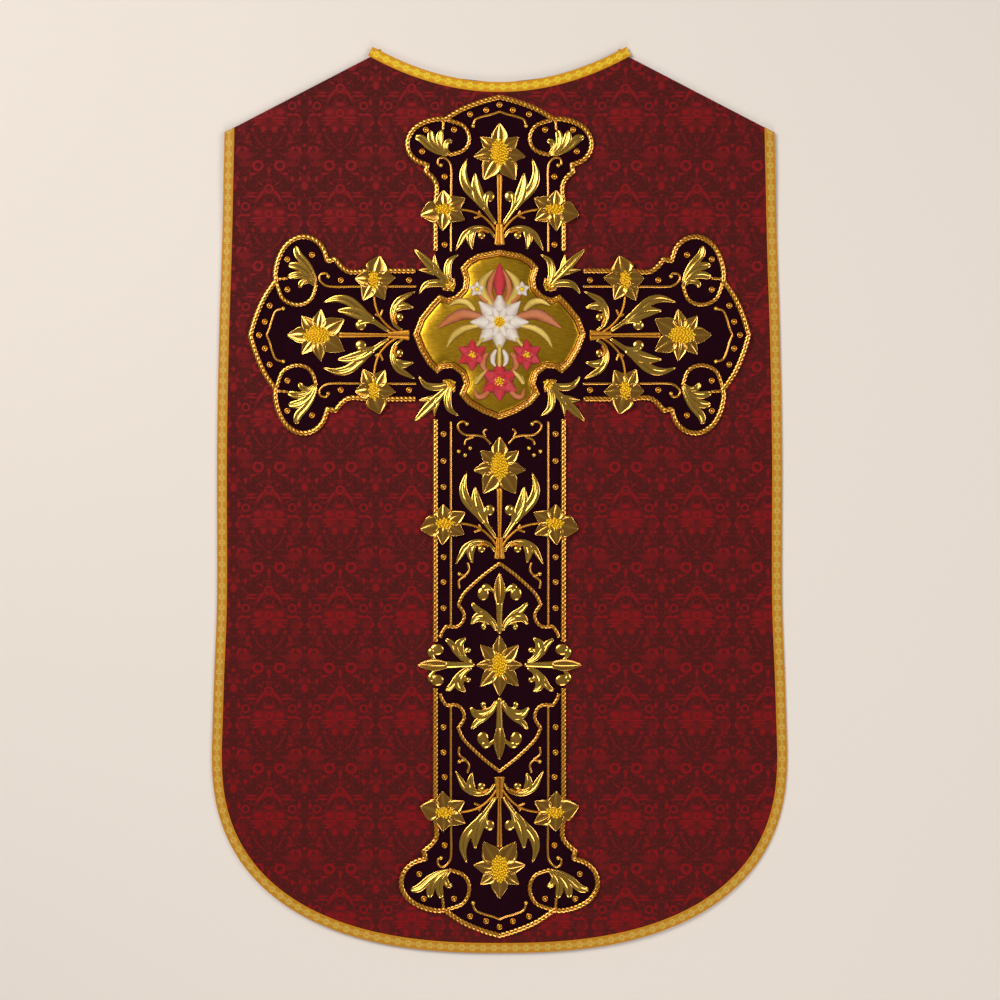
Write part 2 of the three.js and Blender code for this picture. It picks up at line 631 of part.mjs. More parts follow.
// The velvet cross: its edge runs under the rope all round.
function velvetCross() {
  const corner = ARM_HALF - BOUND_AT;
  const footCorner = -(CROSS_Y - ARM_HALF - FOOT_BOUND_Y);
  const line = [
    ...endLine(UNITS.top, corner).slice(0, -1),
    ...endLine(UNITS.right, corner).slice(0, -1),
    ...endLine(UNITS.foot, footCorner).slice(0, -1),
    ...endLine(UNITS.left, corner).slice(0, -1),
  ];
  const shape = new THREE.Shape(line.map(([x, y]) => new THREE.Vector2(x, y)));
  const geometry = new THREE.ExtrudeGeometry(shape, { depth: VELVET_THICK, bevelEnabled: false });
  return geometry.translate(0, 0, VELVET_LEVEL);
}

// The pieces

const chasuble = new THREE.Group();
const damask = material(COLOURS.damask, 0, 0.6);
const galloon = material(COLOURS.galloon, 0.5, 0.45);
const velvet = material(COLOURS.velvet, 0, 0.9);
const gold = material(COLOURS.gold, 1, 0.28);
const rope = material(COLOURS.rope, 0.9, 0.4);
const satin = material(COLOURS.satin, 0.8, 0.3);
const bloom = material(COLOURS.bloom, 0.1, 0.5);

function add(name, geometry, finish) {
  const mesh = new THREE.Mesh(geometry, finish);
  mesh.name = name;
  chasuble.add(mesh);
}

add('front_panel', frontPanel, damask);
add('back_panel', backPanel, damask);
add('front_edge_galloon', edgeGalloon(frontRings, onTable), galloon);
add('front_neck_galloon', neckGalloon(frontLoop, NECK_TRIM_OVERHANG.front, onTable), galloon);
add('back_edge_galloon', edgeGalloon(backRings, onBack), galloon);
add('back_neck_galloon', neckGalloon(backLoop, NECK_TRIM_OVERHANG.back, () => VELVET_LEVEL), galloon);
add('cross_velvet', velvetCross(), velvet);

const armLow = CORD_END - BOUND_AT;
const footLow = FOOT_BOUND_Y - (FLEURY_Y - FLEURY_BREAK);
add('rope_top', cord(endLine(UNITS.top, armLow), ROPE), rope);
add('rope_left', cord(endLine(UNITS.left, armLow), ROPE), rope);
add('rope_right', cord(endLine(UNITS.right, armLow), ROPE), rope);
add('rope_foot', cord(endLine(UNITS.foot, footLow), ROPE), rope);
for (const [name, side] of [['rope_shaft_left', -1], ['rope_shaft_right', 1]]) {
  const x = side * ARM_HALF;
  add(name, cord([[x, CROSS_Y - CORD_END], [x, FLEURY_Y + FLEURY_BREAK]], ROPE), rope);
}

for (const [name, unit] of Object.entries({ ...UNITS, shaft: SHAFT })) {
  add(`spray_${name}`, spray(unit), gold);
  add(`flower_${name}`, bigFlower(unit), gold);
  for (const [letter, side] of [['a', -1], ['b', 1]]) {
    add(`star_${name}_${letter}`, smallFlower(unit, side), gold);
    if (unit !== SHAFT) add(`fan_${name}_${letter}`, fan(unit, side), gold);
  }
}
for (const [name, sx, sy] of [['upper_left', -1, 1], ['upper_right', 1, 1], ['lower_left', -1, -1],
  ['lower_right', 1, -1]]) {
  add(`sprig_${name}`, sprig(sx, sy), gold);
}
add('fleury_flower', heartFlower(), gold);
FLEURY_ARMS.forEach((arm) => add(`fleury_${arm.name}`, fleuryArm(arm), gold));
add('cartouche_upper', cartouche(1), gold);
add('cartouche_lower', cartouche(-1), gold);
add('medallion_field', medallionField(), satin);
add('medallion_frame', medallionFrame(), gold);
add('medallion_posy', posy(), bloom);

export default chasuble;
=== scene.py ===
# %% [markdown]
# # A fiddleback chasuble, laid flat with its back up
# A chasuble is the outer vestment of a priest. This one has the narrow Roman cut: two stiff panels
# joined at the shoulders. Its back carries a velvet cross covered in goldwork, which is embroidery
# with metal thread and gilded kid leather over padding. The CAD model holds the true sizes of every
# piece. This script dresses each of them, and it never moves one.

from functools import partial

import bmesh
import bpy
import numpy as np
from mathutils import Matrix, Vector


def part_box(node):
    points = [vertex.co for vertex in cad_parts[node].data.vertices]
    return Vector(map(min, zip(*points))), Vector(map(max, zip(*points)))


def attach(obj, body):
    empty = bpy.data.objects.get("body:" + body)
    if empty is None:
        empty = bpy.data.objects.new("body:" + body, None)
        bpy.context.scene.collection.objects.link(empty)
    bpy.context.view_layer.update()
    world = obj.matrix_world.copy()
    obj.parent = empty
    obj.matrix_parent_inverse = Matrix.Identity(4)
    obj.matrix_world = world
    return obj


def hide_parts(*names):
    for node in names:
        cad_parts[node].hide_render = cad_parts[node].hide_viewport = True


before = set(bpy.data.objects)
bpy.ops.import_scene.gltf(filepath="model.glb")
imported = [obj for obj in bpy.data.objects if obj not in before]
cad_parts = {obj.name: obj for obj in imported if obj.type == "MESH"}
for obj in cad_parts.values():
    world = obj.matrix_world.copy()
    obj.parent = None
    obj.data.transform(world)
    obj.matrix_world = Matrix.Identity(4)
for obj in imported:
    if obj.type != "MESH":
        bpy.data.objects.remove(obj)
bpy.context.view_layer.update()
MM = 0.001


# %% [markdown]
# ## Heights taken from the frame
# Everything lies on something: galloon on damask, velvet on damask, gold on velvet. The heights of
# those layers are read from the frame's boxes, so the new surfaces sit where the CAD pieces sit.

# %% Read layers from the frame
def box_mm(name):
    """Lowest and highest corner of a CAD node in millimetres."""
    return [np.array(corner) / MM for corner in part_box(name)]


PANEL_LOW, PANEL_HIGH = box_mm("back_panel")
FRONT_LOW, FRONT_HIGH = box_mm("front_panel")
VELVET_LOW, VELVET_HIGH = box_mm("cross_velvet")
WORK, OVER_ROPE, POSY_LEVEL = (box_mm(name)[0][2] for name in ("rope_top", "star_top_a", "medallion_posy"))
GAP = WORK - VELVET_HIGH[2]
WALL, GALLOON_WIDTH, GALLOON_THICK = 1.5, 12.5, 1.0
BACK_TOP, FRONT_RIM = PANEL_HIGH[2], FRONT_HIGH[2] - WALL
print("velvet at", VELVET_LOW[2], "goldwork at", WORK, "small flowers at", OVER_ROPE)


# %% [markdown]
# ## Curves, grids and meshes
# A curve is a short list of points, smoothed. A surface is a grid of points: rows run
# along the piece and columns run round its section. Working on whole arrays keeps this fast, and the
# faces of any grid follow one rule, so one function makes them all.

# %% Smooth and even curves
def smooth(points, steps):
    """A curve through the points: between two of them it is the cubic whose slope at each point is
    half the step from the point before to the point after."""
    points = np.asarray(points, float)
    place = np.linspace(0, len(points) - 1, steps + 1)
    i = np.minimum(place.astype(int), len(points) - 2)
    f = (place - i)[:, None]
    p0, p1, p2 = points[np.maximum(i - 1, 0)], points[i], points[i + 1]
    p3 = points[np.minimum(i + 2, len(points) - 1)]
    m1, m2 = (p2 - p0) / 2, (p3 - p1) / 2
    return (2 * p1 - 2 * p2 + m1 + m2) * f**3 + (3 * p2 - 3 * p1 - 2 * m1 - m2) * f**2 + m1 * f + p1


def lengths(line):
    """Distance along a line at each of its points."""
    return np.concatenate([[0], np.cumsum(np.linalg.norm(np.diff(line, axis=0), axis=1))])


def even(line, step):
    """The same line with points about step apart."""
    along = lengths(line)
    at = np.linspace(0, along[-1], max(2, round(along[-1] / step)) + 1)
    return np.stack([np.interp(at, along, line[:, k]) for k in range(line.shape[1])], axis=1)


def direction(vectors):
    """The vectors scaled to length 1."""
    return vectors / np.maximum(np.linalg.norm(vectors, axis=-1, keepdims=True), 1e-9)


def sideways(line, closed=False):
    """Unit vector to the left of the line: the mean of the steps before and after, turned a quarter."""
    ahead, behind = np.roll(line, -1, axis=0) - line, line - np.roll(line, 1, axis=0)
    if not closed:
        ahead[-1], behind[0] = behind[-1], ahead[0]
    mean = direction(direction(ahead) + direction(behind))
    return np.stack([-mean[:, 1], mean[:, 0]], axis=1)


print("a smoothed corner:", smooth([[0, 0], [10, 0], [10, 10]], 4).round(1).tolist())


# %% Grids of points and their faces
def grid(xy, z, uv=None, tone=0.0, ink=0, wrap_rows=False, wrap_columns=True):
    """One part of a mesh, from its plan (rows, columns, 2) and its heights, in mm. Face (r, c) joins the
    points (r, c), (r + 1, c), (r + 1, c + 1) and (r, c + 1). The open ends of a wrapped section close to
    a pole, at the mean of the end row. uv lays the pattern, tone sets painted light and shade, and on a
    galloon its rosettes, and ink picks its material."""
    rows, columns = xy.shape[:2]
    points = np.concatenate([xy, np.broadcast_to(z, (rows, columns))[..., None]], axis=2)
    uv = np.zeros((rows, columns, 2)) if uv is None else uv
    tone = np.broadcast_to(tone, (rows, columns))
    if wrap_columns and not wrap_rows:
        ends = [np.repeat(points[r].mean(axis=0)[None, None], columns, axis=1) for r in (0, -1)]
        points = np.concatenate([ends[0], points, ends[1]])
        uv, tone = (np.concatenate([layer[:1], layer, layer[-1:]]) for layer in (uv, tone))
        rows += 2
    r = np.arange(rows if wrap_rows else rows - 1)[:, None]
    c = np.arange(columns if wrap_columns else columns - 1)[None, :]
    r2, c2 = (r + 1) % rows, (c + 1) % columns
    corners = [r * columns + c, r2 * columns + c, r2 * columns + c2, r * columns + c2]
    return {"points": points.reshape(-1, 3), "faces": np.stack(corners, axis=-1).reshape(-1, 4),
            "uv": uv.reshape(-1, 2), "tone": tone.reshape(-1), "ink": ink}


def copies(part, centres):
    """The same part repeated at each centre, as one part."""
    count, size = len(centres), len(part["points"])
    points = (part["points"][None] + np.asarray(centres, float)[:, None]).reshape(-1, 3)
    faces = (part["faces"][None] + size * np.arange(count)[:, None, None]).reshape(-1, 4)
    return {"points": points, "faces": faces, "uv": np.tile(part["uv"], (count, 1)),
            "tone": np.tile(part["tone"], count), "ink": part["ink"]}


WELD = 2e-6


def placed(name, data):
    """A new object in the scene."""
    made = bpy.data.objects.new(name, data)
    bpy.context.scene.collection.objects.link(made)
    return made


def finished(name, mesh, materials, replaces, closed=True):
    """Merges points that meet, turns closed parts' faces outwards, and makes the object at the origin."""
    work = bmesh.new()
    work.from_mesh(mesh)
    bmesh.ops.remove_doubles(work, verts=work.verts, dist=WELD)
    if closed:
        bmesh.ops.recalc_face_normals(work, faces=work.faces)
    work.to_mesh(mesh)
    work.free()
    for material in materials:
        mesh.materials.append(material)
    made = placed(name, mesh)
    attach(made, "root")
    if replaces:
        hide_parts(*replaces)
    return made


def piece(name, parts, materials, replaces, closed=True):
    """Joins the parts into one mesh, with their uv, tone and ink, and finishes it."""
    sizes = np.cumsum([0] + [len(p["points"]) for p in parts])
    faces = np.concatenate([p["faces"] + n for p, n in zip(parts, sizes)])
    mesh = bpy.data.meshes.new(name)
    mesh.from_pydata(np.concatenate([p["points"] for p in parts]) * MM, [], faces)
    corner = np.zeros(len(mesh.loops), np.int32)
    mesh.loops.foreach_get("vertex_index", corner)
    uv = np.concatenate([p["uv"] for p in parts])[corner]
    mesh.uv_layers.new(name="lay").data.foreach_set("uv", uv.astype(np.float32).ravel())
    tone = np.concatenate([p["tone"] for p in parts])
    mesh.attributes.new("tone", "FLOAT", "POINT").data.foreach_set("value", tone.astype(np.float32))
    ink = np.concatenate([np.full(len(p["faces"]), p["ink"]) for p in parts])
    mesh.polygons.foreach_set("material_index", ink.astype(np.int32))
    mesh.polygons.foreach_set("use_smooth", np.ones(len(faces), bool))
    return finished(name, mesh, materials, replaces, closed)


print("faces of a tube of 3 rows and 6 columns, caps included:", len(grid(np.zeros((3, 6, 2)), 0)["faces"]))


# %% [markdown]
# ## Colours and nodes
# Screen colours are written as sRGB hex values and turned to linear light once, here. One small
# function adds any shader node with its settings and links, and every material is built with it.

# %% Colour and node helpers
def linear(hex_colour):
    """sRGB hex to linear RGBA: below 0.04045 divide by 12.92, else ((c + 0.055) / 1.055) to the 2.4."""
    c = np.array([int(hex_colour[i:i + 2], 16) for i in (1, 3, 5)]) / 255
    return (*np.where(c <= 0.04045, c / 12.92, ((c + 0.055) / 1.055) ** 2.4).tolist(), 1.0)


def fill(made, **sockets):
    """Gives each named socket of a node a value, or a link from another node's output."""
    for name, value in sockets.items():
        socket = made.inputs[int(name[1:]) if name[1:].isdigit() else name.replace("_", " ")]
        if isinstance(value, bpy.types.NodeSocket):
            made.id_data.links.new(value, socket)
        else:
            socket.default_value = value


def node(tree, kind, *values, out=None, **more):
    """Adds a node and returns its output, the first one in use or the one named out. Values go to the
    sockets in use, in order. Of the rest, a capitalised name is a socket and a small one a setting."""
    made = tree.nodes.new("ShaderNode" + kind)
    for name in [name for name in more if name[0].islower()]:
        setattr(made, name, more.pop(name))
    in_use = [f"i{k}" for k, socket in enumerate(made.inputs) if socket.enabled]
    fill(made, **dict(zip(in_use, values)), **more)
    return made.outputs[out] if out else next((s for s in made.outputs if s.enabled), None)


def new_material(name):
    """An empty material, the function that adds a node to it and the one that fills its shader's sockets."""
    material = bpy.data.materials.new(name)
    material.use_nodes = True
    tree = material.node_tree
    tree.nodes.clear()
    shader = tree.nodes.new("ShaderNodeBsdfPrincipled")
    add = partial(node, tree)
    add("OutputMaterial", shader.outputs[0])
    return material, add, partial(fill, shader)


def millimetres(add):
    """Object coordinates in millimetres."""
    return add("VectorMath", add("TexCoord", out="Object"), 1 / MM, operation="SCALE")


print("dark red in linear light:", [round(v, 3) for v in linear("#7D1018")])


# %% [markdown]
# ## The damask
# Damask is a one-colour silk whose pattern is woven: the figure floats in satin and catches the light,
# and the ground is dull. The repeat is symmetric about upright lines, so the cloth's x is folded to
# one half repeat. Each leaf of the pattern is a bent ellipse: one minus the square along it and the
# square across it, where the across value is first moved by a bend times the square along it. The
# tables list leaves and rings in millimetres across and down from the eye in the middle of a repeat.

# %% Damask pattern tables
REPEAT_WIDE, REPEAT_TALL = 89.2, 125.6
EYE_AT, ABOVE_EYE = (-20.7, -113.3), 35.6
# x, y: middle of the leaf; long, wide: half sizes; turn: degrees; bend: how far its ends bow; tone: how much
# of the figure's painted sheen it takes
LEAVES = """
x    y     long wide turn bend  tone
11   8     11   2.2  55   -0.55 1
22   5.5   8.5  1.5  4    0     1
22.5 9.5   8.8  1.7  -3   0     1
10.5 -6.5  3.6  1.6  -31  0     0.9
0    -12   13   1.2  0    -0.77 0.45
0    20.2  8    3.2  0    0     1
14   29.5  6.5  5    0    0     1
12.5 37    13.2 1.8  0    0     1
12.5 40.5  13   1.5  2    0     0.9
14.5 44    7    2.1  17   0     1
7    51    5.2  4.2  90   0     1
13.5 66    16.5 1.1  130  -0.6  0.65
0    78    2.4  2.4  0    0     0.8
1.6  84    2.6  1.2  -40  0     0.8
0    -22.6 6.2  2.4  90   0     1
37.5 18    4.2  2.6  90   0.5   1
26   33    4.3  2.5  0    0     1
34.3 32.8  7    2.1  12   -1.6  1
40.1 44    6    2.1  115  -1.2  1
36.8 52    2.6  2.6  0    0     0.9
26.6 60.5  6.8  3    66   0     0.6
26.5 67.5  5.2  1.9  0    0     0.9
31.5 53.5  4.2  1.6  113  0     0.9
20   52    3    3    0    0     0.8
44.6 71.5  2.8  2.8  0    0     1
29.3 75.3  5    2.6  -53  -1.2  1
38.3 76.5  7    2.6  58   -1.1  1
41   81.5  2.6  1.3  45   0     0.8
30   85    6.8  5    0    0     0.5
44.6 -26.1 3.2  3    90   0     1
20.1 -18.6 5.2  2    0    0     1
29.3 -12.1 4.4  2.7  90   0     1
39.1 -12.6 3.7  2.1  90   0     1
44.6 -3.6  6.6  5    90   0     1
44.6 7.7   1.7  1.7  0    0     0.9
9    30    14   9    0    0     0.5
6    46    10   7    0    0     0.4
31   83.5  12   6.8  0    0     0.55
29   -31   11   4.6  0    0     0.45
42   -13   8    3.2  90   0     0.4
33   46    12   6    80   0     0.35
5    4     9    5    30   0     0.45
27   62    7    3.4  100  0     0.35
"""
# x, y: middle of the ring; radius and half width of its line; tone: how much of the figure's painted sheen it
# takes
RINGS = """
x    y     radius wide tone
0    0     4.7    1.6  1
0    31    3.9    1.8  1
29.2 22    4.3    1.4  1
13.6 -29.1 5.5    2    1
"""


def rows(table):
    """A table's rows as dictionaries, keyed by the names in its first line."""
    names, *lines = table.strip().splitlines()
    return [dict(zip(names.split(), map(float, line.split()))) for line in lines]


print("leaves in a half repeat:", len(rows(LEAVES)), "rings:", len(rows(RINGS)))


# %% Masks of a leaf and a ring
BEND_SHARE = 0.3


def leaf_mask(add, spot, row):
    """Positive inside a bent ellipse: 1 - along² - across², with along = d·a and
    across = d·b + bend · along²."""
    turn, long, wide = np.radians(row["turn"]), row["long"], row["wide"]
    reach = add("VectorMath", spot, (row["x"], row["y"], 0), operation="SUBTRACT")
    along = add("VectorMath", reach, (np.cos(turn) / long, np.sin(turn) / long, 0), operation="DOT_PRODUCT")
    across = add("VectorMath", reach, (-np.sin(turn) / wide, np.cos(turn) / wide, 0), operation="DOT_PRODUCT")
    square = add("Math", along, along, operation="MULTIPLY")
    if row["bend"]:
        across = add("Math", square, row["bend"] * long / wide * BEND_SHARE, across, operation="MULTIPLY_ADD")
    both = add("Math", across, across, square, operation="MULTIPLY_ADD")
    return add("Math", 1.0, both, operation="SUBTRACT")


def ring_mask(add, spot, row):
    """Positive on a ring: its half width less the distance to its line."""
    far = add("VectorMath", spot, (row["x"], row["y"], 0), operation="DISTANCE")
    off = add("Math", add("Math", far, row["radius"], operation="SUBTRACT"), operation="ABSOLUTE")
    return add("Math", row["wide"], off, operation="SUBTRACT")


print("bent leaves in a half repeat:", sum(row["bend"] != 0 for row in rows(LEAVES)))


# %% Damask material
WHOLE_REPEATS = 20  # keeps folded distances positive
WEAVE_STEP = 2.4  # mm by which the stepped weave roughens the edges of the figure
LEAF_EDGE, RING_EDGE = 1.4, 1.6  # how sharply each kind of shape rises to 1 at its edge


def damask_silk():
    """Silk damask, woven: satin figure over a dull ground, so the figure is smoother, and a painted sheen in
    its colour makes it brighter.
    """
    material, add, finish = new_material("silk_damask")
    spot = millimetres(add)
    # x folds about upright lines a half repeat apart, and y runs down from just above an eye
    shifted = add("Math", add("SeparateXYZ", spot, out="X"), REPEAT_WIDE * WHOLE_REPEATS - EYE_AT[0])
    folded = add("Math", shifted, REPEAT_WIDE / 2, operation="PINGPONG")
    down = add("Math", REPEAT_TALL * WHOLE_REPEATS + EYE_AT[1] + ABOVE_EYE,
               add("SeparateXYZ", spot, out="Y"), operation="SUBTRACT")
    wrapped = add("Math", down, REPEAT_TALL, operation="MODULO")
    wrapped = add("Math", wrapped, ABOVE_EYE, operation="SUBTRACT")
    wobble = add("TexNoise", spot, Scale=0.55, Detail=2.0, out="Color")
    shake = add("VectorMath", wobble, (WEAVE_STEP, WEAVE_STEP, 0), add("CombineXYZ", folded, wrapped),
                operation="MULTIPLY_ADD")
    middle = add("VectorMath", shake, (WEAVE_STEP / 2, WEAVE_STEP / 2, 0), operation="SUBTRACT")
    mask = 0.0
    for table, drawn, edge in ((LEAVES, leaf_mask, LEAF_EDGE), (RINGS, ring_mask, RING_EDGE)):
        for row in rows(table):
            sharp = add("Math", drawn(add, middle, row), edge, operation="MULTIPLY", use_clamp=True)
            shaded = add("Math", sharp, row["tone"], operation="MULTIPLY")
            mask = add("Math", shaded, mask, operation="MAXIMUM")
    # small scrolls fill the ground: bands where a noise, mirrored as the repeat is, comes near one half
    upright = add("Math", down, REPEAT_TALL / 2, operation="PINGPONG")
    lace = add("TexNoise", add("CombineXYZ", folded, upright), Scale=0.13, Detail=1.0)
    off = add("Math", add("Math", lace, 0.5, operation="SUBTRACT"), operation="ABSOLUTE")
    scrolls = add("Math", off, -24.0, 1.0, operation="MULTIPLY_ADD", use_clamp=True)
    mask = add("Math", add("Math", scrolls, 0.6, operation="MULTIPLY"), mask, operation="MAXIMUM")
    # warp threads show as fine upright ribs: real ones are 0.1 mm apart, drawn here at 1.1 mm
    ribs = add("TexWave", spot, bands_direction="X", Scale=0.28, Distortion=0.6)
    mottle = add("TexNoise", spot, Scale=0.35, Detail=3.0)
    # the figure's lighter red is painted sheen: the silk is one colour, and only its satin floats catch more
    # light
    ground = add("Mix", mottle, linear("#46110E"), linear("#541512"), data_type="RGBA")
    figure = add("Mix", mottle, linear("#7E080D"), linear("#8C0B12"), data_type="RGBA")
    height = add("Math", mask, 0.8, add("Math", ribs, 0.5, operation="MULTIPLY"), operation="MULTIPLY_ADD")
    finish(Base_Color=add("Mix", mask, ground, figure, data_type="RGBA"),
           Roughness=add("MapRange", mask, To_Min=0.7, To_Max=0.5),
           Normal=add("Bump", 1.0, 0.12 * MM, Height=height), Specular_IOR_Level=0.12)
    return material


DAMASK = damask_silk()
print("damask nodes:", len(DAMASK.node_tree.nodes))


# %% [markdown]
# ## Velvet, gold and thread
# Velvet swallows light except at grazing angles, so it is nearly black with a faint purple sheen.
# Gilded kid leather and metal thread are metals to the eye. What tells them apart is scale: kid is
# smooth and mirrors the lamps, thread breaks the mirror into many small glints.

# %% Velvet
def velvet_pile():
    """Silk velvet: cut pile, so rough, dark and soft at the edges of view. Its mottling is brushed pile."""
    material, add, finish = new_material("silk_velvet")
    spot = millimetres(add)
    mottle = add("TexNoise", spot, Scale=0.12, Detail=4.0, Roughness=0.7)
    pile = add("TexNoise", spot, Scale=1.3, Detail=2.0)
    finish(Base_Color=add("Mix", mottle, linear("#140009"), linear("#26020F"), data_type="RGBA"),
           Normal=add("Bump", 1.0, 0.35 * MM, Height=pile), Roughness=0.95, Sheen_Weight=0.08,
           Sheen_Roughness=0.45, Sheen_Tint=linear("#6A1A3C"), Specular_IOR_Level=0.08)
    return material


VELVET = velvet_pile()
print("velvet:", VELVET.name)


# %% Metals
def metal(name, hollow, crest, roughness, speckle=0.0, speckle_mm=1.0, depth=0.0, metallic=1.0, lacquer=0.0):
    """A metallic finish. Its colour runs from hollow to crest with the mesh's own tone, which is 1 on raised
    rims and 0 in hollows: a painted highlight on rims, crests and tops, painted shade in hollows and grooves.
    Speckle breaks it up at random, and lacquer adds the white glints."""
    material, add, finish = new_material(name)
    spot = millimetres(add)
    grain = add("TexNoise", spot, Scale=1 / speckle_mm, Detail=2.0)
    tone = add("Attribute", attribute_name="tone", out="Fac")
    centred = add("Math", grain, 2 * speckle, tone, operation="MULTIPLY_ADD")
    share = add("Math", centred, speckle, operation="SUBTRACT", use_clamp=True)
    if depth:
        finish(Normal=add("Bump", 1.0, depth * MM, Height=grain))
    finish(Base_Color=add("Mix", share, linear(hollow), linear(crest), data_type="RGBA"), Metallic=metallic,
           Roughness=roughness, Coat_Weight=lacquer, Coat_Roughness=0.12, Coat_IOR=1.6)
    return material


# gilded kid leather, pressed smooth over felt: a soft mirror
KID = metal("gilded_kid", "#CC7E0A", "#F6C040", 0.17, 0.25, 6.0, depth=0.05, metallic=0.94, lacquer=1.0)
# gimp rope of twisted gilt thread: sharp glints on each strand, a painted highlight on the strands and
# painted shade, brown, in the grooves
ROPE = metal("gilt_rope", "#C05C00", "#FFC22E", 0.23, 0.4, 2.2, depth=0.2, metallic=0.77, lacquer=0.8)
# bullion, cut coils of gilt wire: granular and warm
BULLION = metal("gilt_bullion", "#E09000", "#FFDA20", 0.4, 0.6, 1.6, depth=0.2, metallic=0.6)
# passing thread couched in rows: orange brown and dull
LAID = metal("laid_passing", "#7A3C08", "#DC9634", 0.42, 0.8, 1.6, depth=0.2)
# thin couched cord: coppery gold
CORD = metal("couched_cord", "#C46004", "#FFC440", 0.27, 0.5, 2.0, depth=0.1, metallic=0.8, lacquer=0.6)
# spangles: small rings, each with a bead, of one metal from copper to gilt; the rings keep to the copper end,
# and both are painted lighter on top
SPANGLE = metal("gilt_spangle", "#DC6400", "#FFD23C", 0.27, metallic=0.75, lacquer=0.3)
print("metals:", [m.name for m in (KID, ROPE, BULLION, LAID, CORD, SPANGLE)])


# %% Silks and satin of the medallion
STITCH_MM = 1.1


def stitched_silk(name, dark, light, metallic=0.0):
    """Silk floss in satin stitch: fine parallel ridges across the piece's own length, with a soft sheen."""
    material, add, finish = new_material(name)
    spot = millimetres(add)
    ribs = add("TexWave", add("UVMap", uv_map="lay"), bands_direction="X", Scale=6.3 / STITCH_MM / 20,
               Distortion=1.0)
    drift = add("Math", add("TexNoise", spot, Scale=0.2, Detail=2.0), 0.4, operation="MULTIPLY")
    tone = add("Attribute", attribute_name="tone", out="Fac")
    # the colour is painted light and shade: lighter on the ridges of the stitches and on the raised middle of
    # a form, darker towards its edges; the drift varies it at random
    sheen = add("Math", add("Math", tone, 0.75, drift, operation="MULTIPLY_ADD"), 0.3, operation="SUBTRACT")
    share = add("Math", ribs, 0.35, sheen, operation="MULTIPLY_ADD", use_clamp=True)
    finish(Base_Color=add("Mix", share, linear(dark), linear(light), data_type="RGBA"),
           Normal=add("Bump", 1.0, 0.2 * MM, Height=ribs), Metallic=metallic, Roughness=0.4,
           Sheen_Weight=0.2, Sheen_Roughness=0.3)
    return material


def gold_satin():
    """Satin of gilt thread over padding: a metal sheet with long soft streaks along its floats."""
    material, add, finish = new_material("gilt_satin")
    spot = millimetres(add)
    long_way = add("VectorMath", spot, (0.35, 1.6, 1.0), operation="MULTIPLY")
    streaks = add("TexNoise", long_way, Scale=0.35, Detail=3.0)
    floats = add("TexWave", spot, bands_direction="Y", Scale=0.32, Distortion=0.4)
    # the streaks are painted sheen: lighter and darker gilt, at random, along the floats
    finish(Base_Color=add("Mix", streaks, linear("#96660A"), linear("#E6B428"), data_type="RGBA"),
           Normal=add("Bump", 1.0, 0.04 * MM, Height=floats), Metallic=0.9, Roughness=0.28)
    return material


IVORY = stitched_silk("ivory_floss", "#A9805E", "#FBEFE0")
CRIMSON = stitched_silk("crimson_floss", "#7A0614", "#E0202E")
AUBURN = stitched_silk("auburn_floss", "#7C300E", "#DE7C3A")
GOLD_FLOSS = stitched_silk("gold_floss", "#8C5C0C", "#F4D060", metallic=0.3)
SATIN = gold_satin()
print("silks:", [m.name for m in (IVORY, CRIMSON, AUBURN, GOLD_FLOSS, SATIN)])


# %% Galloon material
def woven_galloon(name, edge, band, rosette):
    """Galloon, a woven braid of gilt thread: plain edges and a row of rosettes down the middle."""
    material, add, finish = new_material(name)
    spot = millimetres(add)
    lay = add("UVMap", uv_map="lay")
    across = add("Math", add("SeparateXYZ", lay, out="Y"), operation="ABSOLUTE")
    inner = add("MapRange", across, 0.42, 0.5, 1.0, 0.0)
    weave = add("TexWave", lay, bands_direction="X", Scale=1.4, Distortion=0.5)
    grain = add("TexNoise", spot, Scale=0.8, Detail=2.0)
    base = add("Mix", inner, linear(edge), linear(band), data_type="RGBA")
    wear = add("Math", grain, 0.16, operation="MULTIPLY")
    worn = add("Mix", wear, base, linear("#5A3408"), data_type="RGBA")
    tone = add("Attribute", attribute_name="tone", out="Fac")
    height = add("Math", weave, 0.6, grain, operation="MULTIPLY_ADD")
    finish(Base_Color=add("Mix", tone, worn, linear(rosette), data_type="RGBA"),
           Normal=add("Bump", 1.0, 0.2 * MM, Height=height), Metallic=0.1, Roughness=0.5,
           Specular_IOR_Level=0.25)
    return material


GALLOON = woven_galloon("gilt_galloon", "#F29C00", "#C88614", "#D6B450")
NECK_GALLOON = woven_galloon("gilt_neck_galloon", "#EEA400", "#DC9602", "#F4D830")
print("materials:", len(bpy.data.materials))


# %% [markdown]
# ## The outline of a panel
# A panel is drawn from half its outline: the neckline, the straight shoulder seam, the side, and the
# hem, which is a quarter of a superellipse. Pattern cutters draw half a panel too, and cut it on the
# fold. The same numbers as in the CAD model are used here, so the pieces fit.

# %% Panel measures and outline
NECK_HALF, NECK_TOP = 148, FRONT_HIGH[1]
SHOULDER_HALF, SHOULDER_Y = 343.8, 459.4
SEAM_SLOPE = (NECK_TOP - SHOULDER_Y) / (NECK_HALF - SHOULDER_HALF)
# each neckline and hem: its lowest y and its power
BACK_NECK, FRONT_NECK = (522.5, 2), (407, 3)
BACK_HEM, FRONT_HEM = (PANEL_LOW[1], 2.45), (FRONT_LOW[1], 2.4)
BACK_SIDE = [(343.8, 459.4), (347, 325), (351, 200), (353.5, 60), (353.5, -120), (357, -220), (360, -315)]
FRONT_SIDE = [(343.8, 459.4), (300, 385), (264, 270), (252, 140), (258, -20), (272, -170), (288, -330)]
CURVE_STEPS = 60


